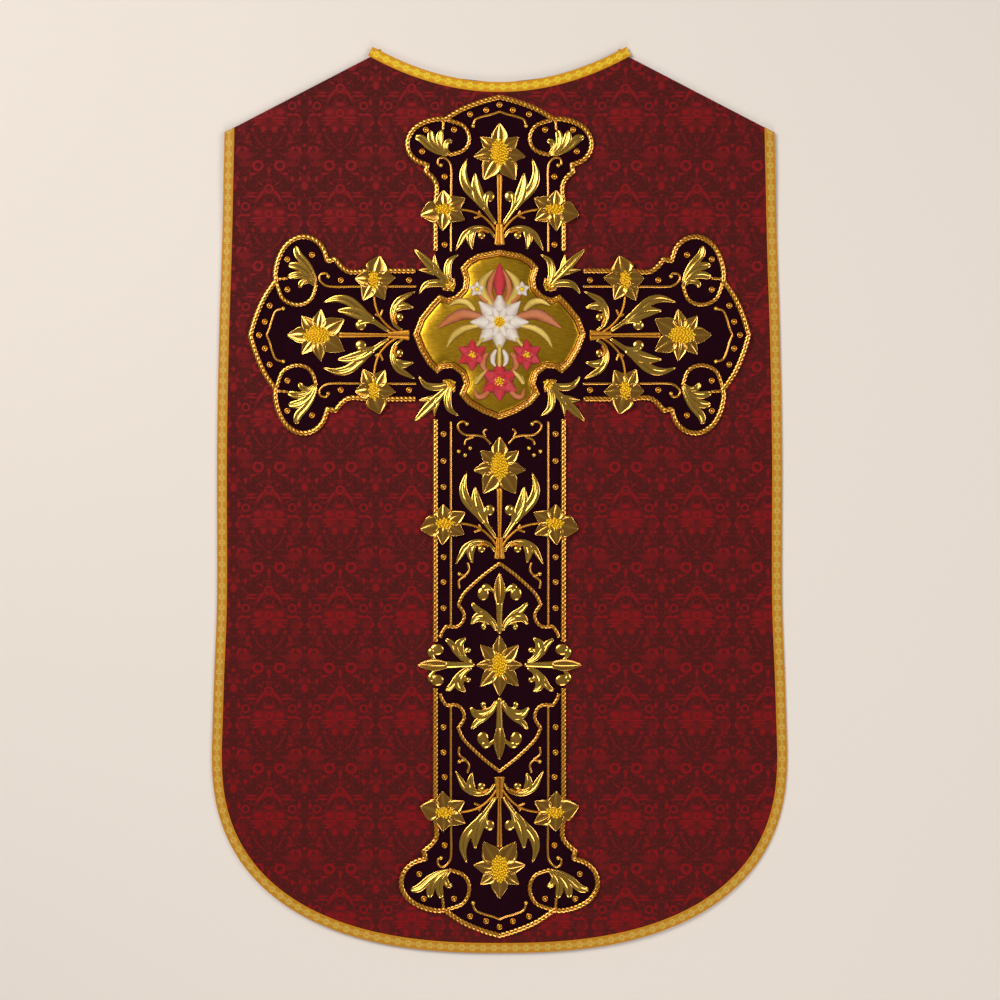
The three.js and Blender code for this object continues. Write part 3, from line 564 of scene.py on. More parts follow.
def neck_curve(neck):
    """Half the neckline, from its middle to the shoulder: low + (top - low) times (x / half) to a power."""
    x = np.linspace(0, NECK_HALF, CURVE_STEPS + 1)
    return np.stack([x, neck[0] + (NECK_TOP - neck[0]) * (x / NECK_HALF) ** neck[1]], axis=1)


def half_edge(side, hem):
    """The bound edge of one half: down the side from the shoulder point, then a quarter of a superellipse
    from the widest level down to the middle of the hem."""
    half, y = side[-1]
    turn = np.linspace(0, np.pi / 2, CURVE_STEPS + 1)
    across, down = np.cos(turn).clip(0) ** (2 / hem[1]), np.sin(turn) ** (2 / hem[1])
    quarter = np.stack([half * across, y + (hem[0] - y) * down], axis=1)
    return np.concatenate([smooth(side, CURVE_STEPS)[:-1], quarter])


def mirrored(half):
    """A line from the far end of a half, through the middle, to the far end of its mirror image."""
    return np.concatenate([half[::-1], half[1:] * [-1, 1]])


front_edge, back_edge = half_edge(FRONT_SIDE, FRONT_HEM), half_edge(BACK_SIDE, BACK_HEM)
print("edge length of the back, one half:", round(lengths(back_edge)[-1]), "mm")


# %% How high the back panel lies
SINK_START, SINK_END = 28, 66


def distance_inside(points, half):
    """How far each point is inside the outline drawn by a half and its mirror image, in mm: the smallest
    distance to any of its straight pieces, negative where a level line crosses it an even number of
    times. The outline is carried up past the neck, which is open."""
    open_top = [[0, NECK_TOP + 400], [SHOULDER_HALF - 150, NECK_TOP + 400]]
    half = np.concatenate([open_top, half])
    flat = points.reshape(-1, 1, 2).astype(float)
    flat[..., 0] = np.abs(flat[..., 0])
    a, b = half[1:-1], half[2:]
    share = ((flat - a) * (b - a)).sum(2) / ((b - a) ** 2).sum(1)
    far = np.linalg.norm(flat - (a + share.clip(0, 1)[..., None] * (b - a)), axis=2).min(1)
    x, y = flat[..., 0], flat[..., 1]
    (ax, ay), (bx, by) = half[:-1].T, half[1:].T
    rise = np.where(by == ay, 1e-9, by - ay)
    crossed = ((ay > y) != (by > y)) & (x < ax + (y - ay) / rise * (bx - ax))
    return np.where(crossed.sum(1) % 2 == 1, far, -far).reshape(points.shape[:-1])


def ease(share):
    """0 to 1 with a soft start and end: 3 s² - 2 s³."""
    share = np.clip(share, 0, 1)
    return share * share * (3 - 2 * share)


def back_top(points):
    """Height of the back panel's upper face: level over the front panel, sinking to the table past it."""
    past = (-distance_inside(points, front_edge) - SINK_START) / (SINK_END - SINK_START)
    return WALL + (BACK_TOP - WALL) * (1 - np.clip(past, 0, 1))


print("back panel height at the middle and at the side:", back_top(np.array([[0, 0], [350, 0]])).round(2))


# %% [markdown]
# ## The two panels
# Each panel is a grid of level rows. A row runs from the middle, or from the neckline where that cuts
# in, out to the side edge, and the rows are closer where the outline bends. The upper face is made
# first, and a Solidify modifier gives it the thickness of interlined damask.

# %% Build the panels
LEVEL_FROM, NECK_EASE = 27, 20
SEAM_ROWS, ROW_FACES = 24, 48


def panel(name, neck, side, hem, height, replaces):
    """Both halves of a panel as one sheet with thickness, and its flat area in square metres:
    x = inner + (outer - inner) · s, y = the row's level, z = height(x, y). s is closer near both ends."""
    shoulder = np.linspace([SHOULDER_HALF, SHOULDER_Y], [NECK_HALF, NECK_TOP], SEAM_ROWS + 1)[1:]
    outer = np.concatenate([half_edge(side, hem)[::-1], shoulder])
    deep = ((outer[:, 1] - neck[0]) / (NECK_TOP - neck[0])).clip(0)
    inner = NECK_HALF * deep ** (1 / neck[1])
    s = (1 - np.cos(np.linspace(0, np.pi, ROW_FACES + 1))) / 2
    x = inner[:, None] + (outer[:, :1] - inner[:, None]) * s
    xy = np.stack([x, np.broadcast_to(outer[:, 1:], x.shape)], axis=2)
    z = height(xy)
    halves = [grid(xy, z, wrap_columns=False), grid(xy[:, ::-1] * (-1, 1), z[:, ::-1], wrap_columns=False)]
    made = piece(name, halves, [DAMASK], [replaces], closed=False)
    solid = made.modifiers.new("thickness", "SOLIDIFY")
    solid.thickness, solid.offset = WALL * MM, -1
    if sum(p.normal.z for p in made.data.polygons) < 0:
        made.data.flip_normals()
    a, b = xy[1:, 1:] - xy[:-1, :-1], xy[1:, :-1] - xy[:-1, 1:]
    return made, float(np.abs(a[..., 0] * b[..., 1] - a[..., 1] * b[..., 0]).sum()) * MM * MM


def front_top(points):
    """Height of the front panel's upper face: its rim rides on its galloon and its middle lies flat."""
    deep = (distance_inside(points, front_edge) - GALLOON_WIDTH) / (LEVEL_FROM - GALLOON_WIDTH)
    around_neck = (FRONT_NECK[0] - points[..., 1]) / NECK_EASE
    return WALL + FRONT_RIM * (1 - ease(np.minimum(deep, around_neck)))


back, back_area = panel("damask_back", BACK_NECK, BACK_SIDE, BACK_HEM, back_top, "back_panel")
front, front_area = panel("damask_front", FRONT_NECK, FRONT_SIDE, FRONT_HEM, front_top, "front_panel")
print("flat areas in square metres:", round(back_area, 3), round(front_area, 3))


# %% [markdown]
# ## Galloon
# Galloon is sewn over every raw edge but the shoulder seams. It is a strip: a flat profile with corded
# edges, carried along the panel's edge. Its rosettes are woven in relief, so the surface rises there.

# %% Galloon strips
ROSETTE_STEP, ROSETTE_RADIUS, END_SHIFT, BRAID_STEP = 13.5, 2.9, 14, 1.5
ACROSS = np.array([-0.5, -0.47, -0.42, -0.36, -0.3, -0.23, -0.16, -0.08, 0])
ACROSS = np.concatenate([ACROSS, -ACROSS[-2::-1]])


def rosette(along, across):
    """Relief of the rosettes: a ring of six petals round a dot, and crossed stalks between two rings."""
    x = (along + ROSETTE_STEP / 2) % ROSETTE_STEP - ROSETTE_STEP / 2
    far = np.hypot(x, across)
    petals = 1 + 0.12 * np.cos(6 * np.arctan2(across, x))
    ring = np.exp(-((far - ROSETTE_RADIUS * petals) ** 2))
    stalk = np.exp(-(((np.abs(across) - 0.35 * (np.abs(x) - 3.4)) / 0.8) ** 2)) * (np.abs(x) > 4.2)
    return np.maximum(ring, 0.7 * np.exp(-((far / 1.1) ** 2))), stalk


def galloon(name, line, height, material, at_seam):
    """z = height under the braid + thickness · (0.62 + corded edges + rosettes + stalks). At a shoulder
    seam the strip's ends are moved onto the seam's line."""
    line = even(line, BRAID_STEP)
    along = lengths(line)[:, None]
    xy = line[:, None] + ((ACROSS + 0.5) * GALLOON_WIDTH)[None, :, None] * sideways(line)[:, None]
    if at_seam:
        ends = ease(1 - np.minimum(along, along[-1] - along) / END_SHIFT)
        xy[..., 1] += ends * (SHOULDER_Y + SEAM_SLOPE * (np.abs(xy[0, :, 0]) - SHOULDER_HALF) - xy[0, :, 1])
    disc, between = rosette(along, ACROSS * GALLOON_WIDTH)
    edge = np.exp(-((np.abs(ACROSS) - 0.43) / 0.04) ** 2)
    under = height(xy)
    z = under + GALLOON_THICK * (0.62 + 0.25 * edge + 0.38 * disc + 0.15 * between)
    z[:, [0, -1]] = under[:, [0, -1]] + 0.3 * GALLOON_THICK
    z = np.concatenate([z, under[:, [-1, 0]]], axis=1)
    uv = np.stack(np.broadcast_arrays(along / GALLOON_WIDTH, ACROSS), axis=2)
    xy, uv = (np.concatenate([layer, layer[:, [-1, 0]]], axis=1) for layer in (xy, uv))
    tone = np.concatenate([np.maximum(disc, 0.7 * between), np.zeros((len(line), 2))], axis=1)
    return piece(f"galloon_{name}", [grid(xy, z, uv, tone)], [material], [f"{name}_galloon"])


def neckline(neck, overhang):
    """The whole neckline, carried straight on past both of its ends."""
    line = mirrored(neck_curve(neck))
    first, last = direction(line[0] - line[1]), direction(line[-1] - line[-2])
    return np.concatenate([[line[0] + first * overhang], line, [line[-1] + last * overhang]])


on_back = lambda xy: back_top(xy) + GAP
level_back = lambda xy: np.full(xy.shape[:-1], BACK_TOP + GAP)
on_table = lambda xy: np.zeros(xy.shape[:-1])
STRIP_LINES = {
    "back_edge": (mirrored(back_edge[::-1]), on_back, GALLOON),
    "front_edge": (mirrored(front_edge[::-1]), on_table, GALLOON),
    "back_neck": (neckline(BACK_NECK, 12), level_back, NECK_GALLOON),
    "front_neck": (neckline(FRONT_NECK, 4), on_table, NECK_GALLOON),
}
for name, (line, height, material) in STRIP_LINES.items():
    at_seam = name.endswith("edge")
    galloon(name, line[::-1] if at_seam else line, height, material, at_seam)
print("galloon lengths in mm:", {name: round(lengths(row[0])[-1]) for name, row in STRIP_LINES.items()})


# %% [markdown]
# ## The velvet cross
# All four ends of the cross use one drawing. It is made for an end that points up, with u across and v
# outwards, and then it is turned and, for three of the ends, a little swollen. The spray on the shaft
# is drawn in the same way.

# %% Ends of the cross
CROSS_Y, ARM_HALF, BOUND_AT = 206, 80, 116
FOOT_BOUND_Y, SHAFT_BOUND_Y, FLEURY_Y = -349, -70, -206
CORD_END, FLEURY_BREAK, SWELL_FROM = 105, 29, 80
SWOLLEN, PLAIN = (1.22, 1.14), (1, 1)
# each unit: the place that it grows from, the way it points, and its growth past 80 mm each way
UNITS = {
    "top": ((0, CROSS_Y + BOUND_AT), (0, 1), PLAIN),
    "left": ((-BOUND_AT, CROSS_Y), (-1, 0), SWOLLEN),
    "right": ((BOUND_AT, CROSS_Y), (1, 0), SWOLLEN),
    "foot": ((0, FOOT_BOUND_Y), (0, -1), SWOLLEN),
    "shaft": ((0, SHAFT_BOUND_Y), (0, 1), PLAIN),
}
ENDS = [name for name in UNITS if name != "shaft"]
CROWN_RUN = [(0, 181), (21, 175.5), (43, 167.5), (57, 160), (68, 153)]
LOBE_RUN = [(68, 153), (79, 153.5), (94, 149.5), (107, 141), (114.5, 127.5), (113, 113), (104, 102),
            (90, 96.5)]
WAIST_RUN = [(92, 88), (84, 81), (79, 72), (78.5, 62), (80, 50)]


def place(points, unit, side=1, swell=False):
    """Turns (u, v) of a unit into (x, y): base + u · side · (out turned right) + v · out."""
    u, v = np.asarray(points, float).T
    (bx, by), (ox, oy), growth = unit
    if swell:
        u, v = (w + np.maximum(0, w - SWELL_FROM) * (more - 1) for w, more in zip((u, v), growth))
    return np.stack([bx + oy * side * u + ox * v, by - ox * side * u + oy * v], axis=1)


def end_line(unit, low):
    """The edge of an end, from low on its left to low on its right."""
    half = np.concatenate([smooth(CROWN_RUN, 32)[:-1], smooth(LOBE_RUN, 56), smooth(WAIST_RUN, 24),
                           [[ARM_HALF, low]]])
    return np.concatenate([place(half, unit, -1, True)[::-1], place(half, unit, 1, True)[1:]])


corners = {name: ARM_HALF - BOUND_AT for name in ENDS} | {"foot": FOOT_BOUND_Y - CROSS_Y + ARM_HALF}
edge_line = np.concatenate([end_line(UNITS[name], corners[name])[:-1]
                            for name in ("top", "right", "foot", "left")])


# %% Cut the velvet
# the line at two heights, one face over it, one under it, and its sides
count = len(edge_line)
levels = [np.column_stack([edge_line, np.full(count, z)]) for z in (VELVET_LOW[2], VELVET_HIGH[2])]
around = np.arange(count)
sides = np.stack([around, (around + 1) % count, (around + 1) % count + count, around + count], axis=1)
mesh = bpy.data.meshes.new("velvet_cross")
mesh.from_pydata(np.concatenate(levels) * MM, [],
                 [*sides.tolist(), (around + count).tolist(), around[::-1].tolist()])
velvet = finished("velvet_cross", mesh, [VELVET], ["cross_velvet"])
print("velvet faces:", len(velvet.data.polygons))


# %% [markdown]
# ## Rope and cord
# Couched rope is what makes goldwork read as a drawing. Each rope is a round section that twists as it
# goes: its radius swells where a strand passes, and the swelling turns with the distance along.

# %% Ropes round the cross
ROPE_HALF, ROPE_HEIGHT, STRAND, ROPE_STEP = 3.4, 3.8, 5.5, 1.2


def twisted(line, half, height, strand=STRAND, strands=3, around=16, ink=0):
    """A laid rope on the velvet. At angle a and distance d its radius is
    0.74 + 0.26 · |cos((n · a - 2 π d / strand) / 2)| for n strands, times half across and height / 2
    upwards. Its crests get a painted highlight and its grooves painted shade."""
    line = even(line, ROPE_STEP)
    along = lengths(line)[:, None]
    turn = np.linspace(0, 2 * np.pi, around, endpoint=False)[None, :]
    crest = np.abs(np.cos(strands * (turn - 2 * np.pi * along / (strands * strand)) / 2))
    radius = 0.74 + 0.26 * crest
    xy = line[:, None] + sideways(line)[:, None] * (half * np.cos(turn) * radius)[..., None]
    z = WORK + height / 2 * (1 + np.sin(turn) * radius)
    uv = np.stack(np.broadcast_arrays(along, turn), axis=2)
    return grid(xy, z, uv, crest**2.5, ink)


rope_lines = {name: end_line(UNITS[name], CORD_END - BOUND_AT) for name in ENDS}
rope_lines["foot"] = end_line(UNITS["foot"], FOOT_BOUND_Y - FLEURY_Y + FLEURY_BREAK)
for name, x in (("shaft_left", -ARM_HALF), ("shaft_right", ARM_HALF)):
    rope_lines[name] = np.array([[x, CROSS_Y - CORD_END], [x, FLEURY_Y + FLEURY_BREAK]])
for name, line in rope_lines.items():
    piece(f"twist_{name}", [twisted(line, ROPE_HALF, ROPE_HEIGHT)], [ROPE], [f"rope_{name}"])
print("rope in mm:", {name: round(lengths(line)[-1]) for name, line in rope_lines.items()})


# %% [markdown]
# ## Leaves, petals and bullion
# Each leaf or petal is a path with a width profile along it and a section across it. Kid leather over
# padding has a rolled rim and a dished face. Laid thread is round. The sections are short formulas of s,
# which runs from -1 to 1 across the leaf.

# %% Leaf shapes
S = np.array([-1, -0.96, -0.88, -0.78, -0.62, -0.44, -0.28, -0.14, 0])
S = np.concatenate([S, -S[-2::-1]])
DOME = np.sqrt(1 - S**2)
RIM, MIDRIB = np.exp(-((np.abs(S) - 0.9) / 0.08) ** 2), np.exp(-(S / 0.13) ** 2)
# each kind: its section, and its tone, which is 1 where a highlight is painted and low where shade is
# painted:
# light on a petal's raised rim and ridge and on top of round and stitched forms, dark in a veined leaf's
# midrib groove and at its edge
KINDS = {
    "petal": (DOME**0.35 * (0.25 + 0.45 * np.abs(S)) + 0.36 * RIM + 0.35 * MIDRIB,
              0.25 + 0.75 * np.maximum(RIM, MIDRIB)),
    "veined": (DOME**0.5 * (0.62 + 0.38 * np.abs(S)) - 0.3 * MIDRIB, 1 - np.maximum(0.9 * MIDRIB, 0.7 * RIM)),
    "round": (DOME, 0.3 + 0.7 * DOME),
    "stitched": (DOME**0.6 * (0.75 + 0.1 * np.abs(S)), 0.1 + 0.9 * DOME**3),
}
# widths from base to tip, as shares of the leaf's width, at even steps along its path
PROFILES = {
    "leaf": (0.36, 0.6, 1, 0.85, 0.12), "blade": (0.5, 1, 0.85, 0.12), "lance": (0.5, 1, 0.12),
    "bar": (1, 1), "tail": (1, 1, 1), "stem": (1, 1, 1, 1), "flare": (0.55, 1), "sheaf": (1, 0.72, 0.6),
    "petal": (0.62, 1, 0.92, 0.5, 0.05), "lobe": (0.3, 0.62, 0.9, 1, 0.85),
    "comma": (0.12, 0.2, 0.32, 0.62, 0.95, 1),
}
CLOSING = {"comma": 0.3, "lobe": 0.3}
LEAF_HEIGHT, CORE_HEIGHT, LEAF_STEPS = 2.8, 4.2, 16


def leaf(path, width, profile, level=WORK, height=LEAF_HEIGHT, kind="veined", ink=0, fall=0.0):
    """half width = width / 2 · profile(t), and z = level + height · (1 + fall · (0.5 - t)) ·
    sqrt(profile(t)) · section(s). Both ends close along a quarter circle, over 6% of the path, or 30% at
    a rounded tip."""
    t = np.linspace(0, 1, LEAF_STEPS + 1)
    line = smooth(path, LEAF_STEPS)
    shape = smooth(np.array(PROFILES[profile])[:, None], LEAF_STEPS)[:, 0].clip(0.02)
    near = np.minimum(t / 0.06, (1 - t) / CLOSING.get(profile, 0.06)).clip(0, 1)
    shape = shape * np.sqrt(near * (2 - near) + 0.0004)
    section, tone = KINDS[kind]
    across = (shape * width / 2)[:, None] * S
    xy = line[:, None] + sideways(line)[:, None] * across[..., None]
    z = level + (height * (1 + fall * (0.5 - t)) * np.sqrt(shape))[:, None] * section
    uv = np.stack([lengths(line)[:, None] + 0 * S, across], axis=2)
    return grid(xy, z, uv, tone, ink)


print("a petal's section:", KINDS["petal"][0].round(2).tolist())


# %% Beads, bosses and bullion
SUNFLOWER_TURN = np.pi * (3 - np.sqrt(5))
GRAIN, BEADS_PER_GRAIN = 1.6, 0.85


def revolve(radius, z, tone, around, ink=0):
    """A turned shape: radius, z and tone from its rim to its middle, carried round the circle."""
    turn = np.linspace(0, 2 * np.pi, around, endpoint=False)
    plan = np.asarray(radius)[:, None, None] * np.stack([np.cos(turn), np.sin(turn)], axis=1)
    return grid(plan, np.asarray(z)[:, None], None, np.asarray(tone)[..., None], ink)


def bead(radius, ink=0, around=6):
    """A small ball in four rings."""
    lift = np.radians([-60, -10, 25, 60])
    # tone rises from under the ball to its top: painted light on top and painted shade beneath
    return revolve(radius * np.cos(lift), radius * np.sin(lift), 0.5 + 0.5 * np.sin(lift), around, ink)


def boss(part, centre, radii, level, height):
    """A turned shape of radius 1 and height 1, stretched to an oval and set down at its place."""
    part["points"] = part["points"] * (*radii, height) + (*centre, level)
    return part


def pad(centre, radii, height=1.9):
    """A smooth padded boss: radius and height follow a quarter circle."""
    turn = np.linspace(0, np.pi / 2 * 0.96, 9)
    # tone runs from 0 at the rim to 1 on top: painted shade round the edge and a painted highlight on top
    return boss(revolve(np.cos(turn), np.sin(turn), np.linspace(0, 1, 9), 20), centre, radii, WORK, height)


def bullion(centre, radii, level, height, ink=1):
    """A boss of cut coils: a low dome covered with beads on a sunflower spiral, where bead i of n is at
    radius sqrt(i / n) and turns 137.5 degrees from the last."""
    count = max(6, int(BEADS_PER_GRAIN * radii[0] * radii[1] / GRAIN**2))
    share, turn = np.sqrt((np.arange(count) + 0.5) / count), np.arange(count) * SUNFLOWER_TURN
    x, y = centre[0] + radii[0] * share * np.cos(turn), centre[1] + radii[1] * share * np.sin(turn)
    z = level + (height - GRAIN) * np.sqrt(1 - 0.8 * share**2)
    lift = np.sqrt(np.linspace(0, 1, 6))
    # the dome under the beads has tone 0: painted shade in the gaps between the beads
    dome = revolve(np.sqrt(1 - lift**2) * 0.94, lift, 0.0, 24, ink)
    return [boss(dome, centre, radii, level, height - GRAIN),
            copies(bead(GRAIN * 1.1, ink), np.column_stack([x, y, z]))]


print("points of one bead:", len(bead(GRAIN)["points"]))


# %% Flowers
# petal tips as (u, v) from the flower's middle, and the half sizes of its core
BLOOM_TIPS = [(0, 37), (24, 19.5), (32.5, -5), (20, -34), (-20, -34), (-32.5, -5), (-24, 19.5)]
STAR_TIPS = [(1.7, 23.5), (30, -7.5), (2.5, -27), (-25, -14), (-26, 13.5)]
HEART_TIPS = [(0, 37), (24, 25), (29, 0), (24, -27), (0, -39), (-24, -27), (-29, 0), (-24, 25)]
BLOOM_CORE, STAR_CORE, HEART_CORE = (11, 17), (11.5, 6.5), (9, 15)
BLOOM_CENTRE, STAR_CENTRE = [(0, 112)], [(68.8, 41)]
PETAL_FILL, PETAL_FALL = 1.12, 0.6
SIDES = (("a", -1), ("b", 1))


def turned(radii, unit):
    """An oval's half sizes, exchanged where the unit lies on its side."""
    return radii if unit[1][0] == 0 else radii[::-1]


def flower_parts(centre, tips, core, level, petal_ink=0, core_ink=1, kind="petal"):
    """A petal goes from the core's rim to each tip. Its width is the gap to its neighbours at six tenths
    of its reach, a little over."""
    tips = np.asarray(tips, float)
    angle = np.arctan2(tips[:, 1], tips[:, 0])
    order = np.argsort(angle)
    angle, reach = angle[order], np.linalg.norm(tips, axis=1)[order]
    gaps = ((np.roll(angle, -1) - angle) % (2 * np.pi) + (angle - np.roll(angle, 1)) % (2 * np.pi)) / 2
    parts = []
    for a, r, gap in zip(angle, reach, gaps):
        out = np.array([np.cos(a), np.sin(a)])
        rim = 0.75 / np.hypot(out[0] / core[0], out[1] / core[1])
        path = [centre + out * (rim + (r - rim) * share) for share in (0, 0.33, 0.66, 1)]
        width = 2 * (0.6 * r) * np.sin(gap / 2) * PETAL_FILL
        parts.append(leaf(path, width, "petal", level, LEAF_HEIGHT, kind, petal_ink, PETAL_FALL))
    return parts + bullion(centre, core, level, CORE_HEIGHT, core_ink)


def flower(name, node_name, unit, centre, tips, core, level, side=1):
    """One kid flower of a unit as a piece."""
    tips = place(tips, ((0, 0), unit[1], PLAIN), side)
    parts = flower_parts(place(centre, unit, side)[0], tips, turned(core, unit), level)
    piece(name, parts, [KID, BULLION], [node_name])


for name, unit in UNITS.items():
    flower(f"bloom_{name}", f"flower_{name}", unit, BLOOM_CENTRE, BLOOM_TIPS, BLOOM_CORE, WORK)
    for letter, side in SIDES:
        flower(f"small_bloom_{name}_{letter}", f"star_{name}_{letter}", unit, STAR_CENTRE, STAR_TIPS,
               STAR_CORE, OVER_ROPE, side)
flower("shaft_bloom", "fleury_flower", ((0, FLEURY_Y), (0, 1), PLAIN), [(0, 0)], HEART_TIPS, HEART_CORE, WORK)
print("flowers done:", 3 * len(UNITS) + 1)


# %% [markdown]
# ## Sprays, fans and sprigs
# A spray grows from a binding: a sheaf, a stalk, and leaves to both sides. The tables give each leaf's
# profile, its width and its path in the unit's own frame, as the CAD model does.

# %% Tables of the sprays
SPRAY = [
    ("leaf", 12.5, [(3, 20), (18, 42), (31, 57), (42.5, 72), (45.5, 88), (40.5, 105)]),
    ("blade", 15, [(17, 41), (25, 55), (29.5, 71), (30.5, 87)]),
    ("comma", 10, [(6, 26), (12, 36), (16.5, 46), (17.5, 55), (14.5, 62)]),
    ("stem", 4, [(3, 11), (10, 22), (23, 33.5), (39, 39.5), (63, 42)]),
    ("leaf", 9, [(5, 4), (13, 15), (28, 17.5), (42, 11), (49, 0), (55, -11)]),
    ("leaf", 11, [(22, 15), (32, 14.5), (36.5, 5), (34, -9)]),
    ("tail", 4.5, [(13, 12), (21, 15.5), (27, 11.5)]),
]
STALK = ("flare", 7.5, [(0, 18), (0, 86)])
SHEAF = ("sheaf", 15, [(0, -4), (0, 24)])
# padded buds: middle and half sizes
SPRAY_BUDS = [((22.5, 8.5), (5, 4.5)), ((12.5, 57.5), (6.4, 7))]
FAN = [
    ("lobe", 11, [(62, 108.8), (76, 112.5), (87, 119.5), (97, 129), (106, 131)]),
    ("lobe", 11, [(64, 109.6), (77, 117), (84.5, 128), (86, 140)]),
    ("lobe", 10, [(65, 111), (72.5, 119), (75, 130), (72, 140.5)]),
    ("lobe", 8, [(61.5, 110.5), (67, 117), (65.5, 124.5), (59, 127)]),
]
# scrolls of rope: half width and path
FAN_ROPES = [
    (2.7, [(65, 152.3), (47, 146.5), (39, 136), (38.5, 124), (46, 114), (63, 108.8)]),
    (2, [(70, 150.5), (70.8, 140)]),
]
SPRIG = [
    ("leaf", 12, [(60, 60), (73, 74), (90, 91), (107, 108)]),
    ("lance", 8, [(76, 77), (80, 88), (81.5, 101.5)]),
    ("lance", 8, [(77, 76), (88, 80), (101.5, 81.5)]),
    ("blade", 10, [(61, 63), (65, 78), (62.5, 92), (51, 101)]),
    ("blade", 10, [(63, 61), (78, 65), (92, 62.5), (101, 51)]),
]
SPRIG_BUD = ((61, 61), (6, 6))
COLLAR = (2.1, [(71, 58), (64, 57), (57, 64), (58, 71)])
ROUND_PROFILES, LAID_PROFILES = ("stem", "tail", "comma"), ("stem", "tail", "flare", "sheaf")
SCROLL_HEIGHT = 3.2


def laid_out(row, put, height=LEAF_HEIGHT):
    """One row of a table as a part. Stalks and sheaves are laid thread, and leaves are veined kid."""
    profile, width, path = row
    kind = "round" if profile in ROUND_PROFILES else "veined"
    return leaf(put(path), width, profile, WORK, height, kind, 2 if profile in LAID_PROFILES else 0)


def scroll(row, put, steps):
    """A short rope that ends in the kid."""
    half, path = row
    return twisted(smooth(put(path), steps), half, SCROLL_HEIGHT, ink=3)


print("leaves on one side of a spray:", len(SPRAY), "of a fan:", len(FAN))


# %% Build the sprays, fans and sprigs
GOLDWORK = [KID, BULLION, LAID, ROPE]
for name, unit in UNITS.items():
    put = partial(place, unit=unit)
    parts = [laid_out(STALK, put), laid_out(SHEAF, put, CORE_HEIGHT)]
    for side in (-1, 1):
        put = partial(place, unit=unit, side=side)
        parts += [laid_out(row, put) for row in SPRAY]
        parts += [pad(put([centre])[0], turned(radii, unit)) for centre, radii in SPRAY_BUDS]
    piece(f"goldwork_spray_{name}", parts, GOLDWORK[:3], [f"spray_{name}"])
for name in ENDS:
    for letter, side in SIDES:
        put = partial(place, unit=UNITS[name], side=side, swell=True)
        parts = [laid_out(row, put) for row in FAN] + [scroll(row, put, 60) for row in FAN_ROPES]
        piece(f"lobe_fan_{name}_{letter}", parts, GOLDWORK, [f"fan_{name}_{letter}"])
for upright, y_sign in (("upper", 1), ("lower", -1)):
    for across, x_sign in (("left", -1), ("right", 1)):
        put = lambda path: np.asarray(path, float) * (x_sign, y_sign) + (0, CROSS_Y)
        parts = [laid_out(row, put) for row in SPRIG]
        parts += bullion(put([SPRIG_BUD[0]])[0], SPRIG_BUD[1], WORK, LEAF_HEIGHT)
        parts.append(scroll(COLLAR, put, 30))
        piece(f"corner_sprig_{upright}_{across}", parts, GOLDWORK, [f"sprig_{upright}_{across}"])
print("sprays:", len(UNITS), "fans:", 2 * len(ENDS), "sprigs: 4")


# %% The fleury cross on the shaft and its pointed cartouche
FLEURY_ARM = [
    ("lobe", 9, [(3, 2), (8, 13), (18, 22.5), (27, 27.5), (35, 37)]),
    ("leaf", 13.5, [(3, 1), (9, 12), (19, 18.5), (29, 17.5), (36, 9)]),
    ("comma", 8.5, [(4, 2), (9.5, 8.5), (16, 11), (20, 7.5), (17.5, 3)]),
    ("comma", 11.5, [(1, 37), (4.5, 46), (10, 53), (16.5, 56), (22, 53)]),
]
FLEURY_CURL = ((20.5, 48), (7.4, 8.6))
FLEURY_TIP, FLEURY_STEM = [(0, 34), (0, 47), (0, 60), (0, 74)], [(0, -3), (0, 38)]
# each arm: where it starts from the middle, the way it points, and its scale
FLEURY_ARMS = {"upper": ((0, 41), (0, 1), 1), "lower": ((0, -43), (0, -1), 1.02),
               "left": ((-33, 0), (-1, 0), 0.94), "right": ((33, 0), (1, 0), 0.94)}
CARTOUCHE = [
    [(0, 127), (19, 113), (37, 97), (46, 87), (51.5, 75)],
    [(51.5, 75), (45, 66), (44.5, 58), (49, 50.5), (56, 47.5), (66.5, 48.5)],
    [(66.5, 48.5), (72, 40.5), (74, 34)],
]
CARTOUCHE_HALF, CARTOUCHE_HEIGHT, CARTOUCHE_LOWER_STRETCH = 2.5, 2.8, 1.045

for name, (start, out, scale) in FLEURY_ARMS.items():
    unit = ((start[0], start[1] + FLEURY_Y), out, PLAIN)
    put = lambda path, side=1: place(np.asarray(path, float) * scale, unit, side)
    parts = [leaf(put(FLEURY_STEM), 10, "flare", kind="round"),
             leaf(put(FLEURY_TIP), 15, "blade", WORK, CORE_HEIGHT, "petal")]
    for side in (-1, 1):
        parts += [laid_out(row, partial(put, side=side)) for row in FLEURY_ARM]
        parts.append(pad(put([FLEURY_CURL[0]], side)[0], turned(FLEURY_CURL[1], unit)))
    piece(f"fleury_arm_{name}", parts, GOLDWORK[:3], [f"fleury_{name}"])

quarter = np.concatenate([smooth(run, 24) for run in CARTOUCHE])
for name, grow in (("upper", 1), ("lower", -CARTOUCHE_LOWER_STRETCH)):
    half = quarter * (1, grow) + (0, FLEURY_Y)
    line = np.concatenate([half[::-1] * (-1, 1), half])
    parts = [twisted(line, CARTOUCHE_HALF, CARTOUCHE_HEIGHT, strand=5, strands=2, around=12)]
    piece(f"cartouche_cord_{name}", parts, [CORD], [f"cartouche_{name}"])
    print("cartouche cord,", name, "half:", round(lengths(line)[-1]), "mm")


# %% [markdown]
# ## Thin cord and spangles
# Between the large pieces run thin couched cords that end in curls, and spangles are sewn down one by one.
# They are too small for the CAD model, so they are only made here.

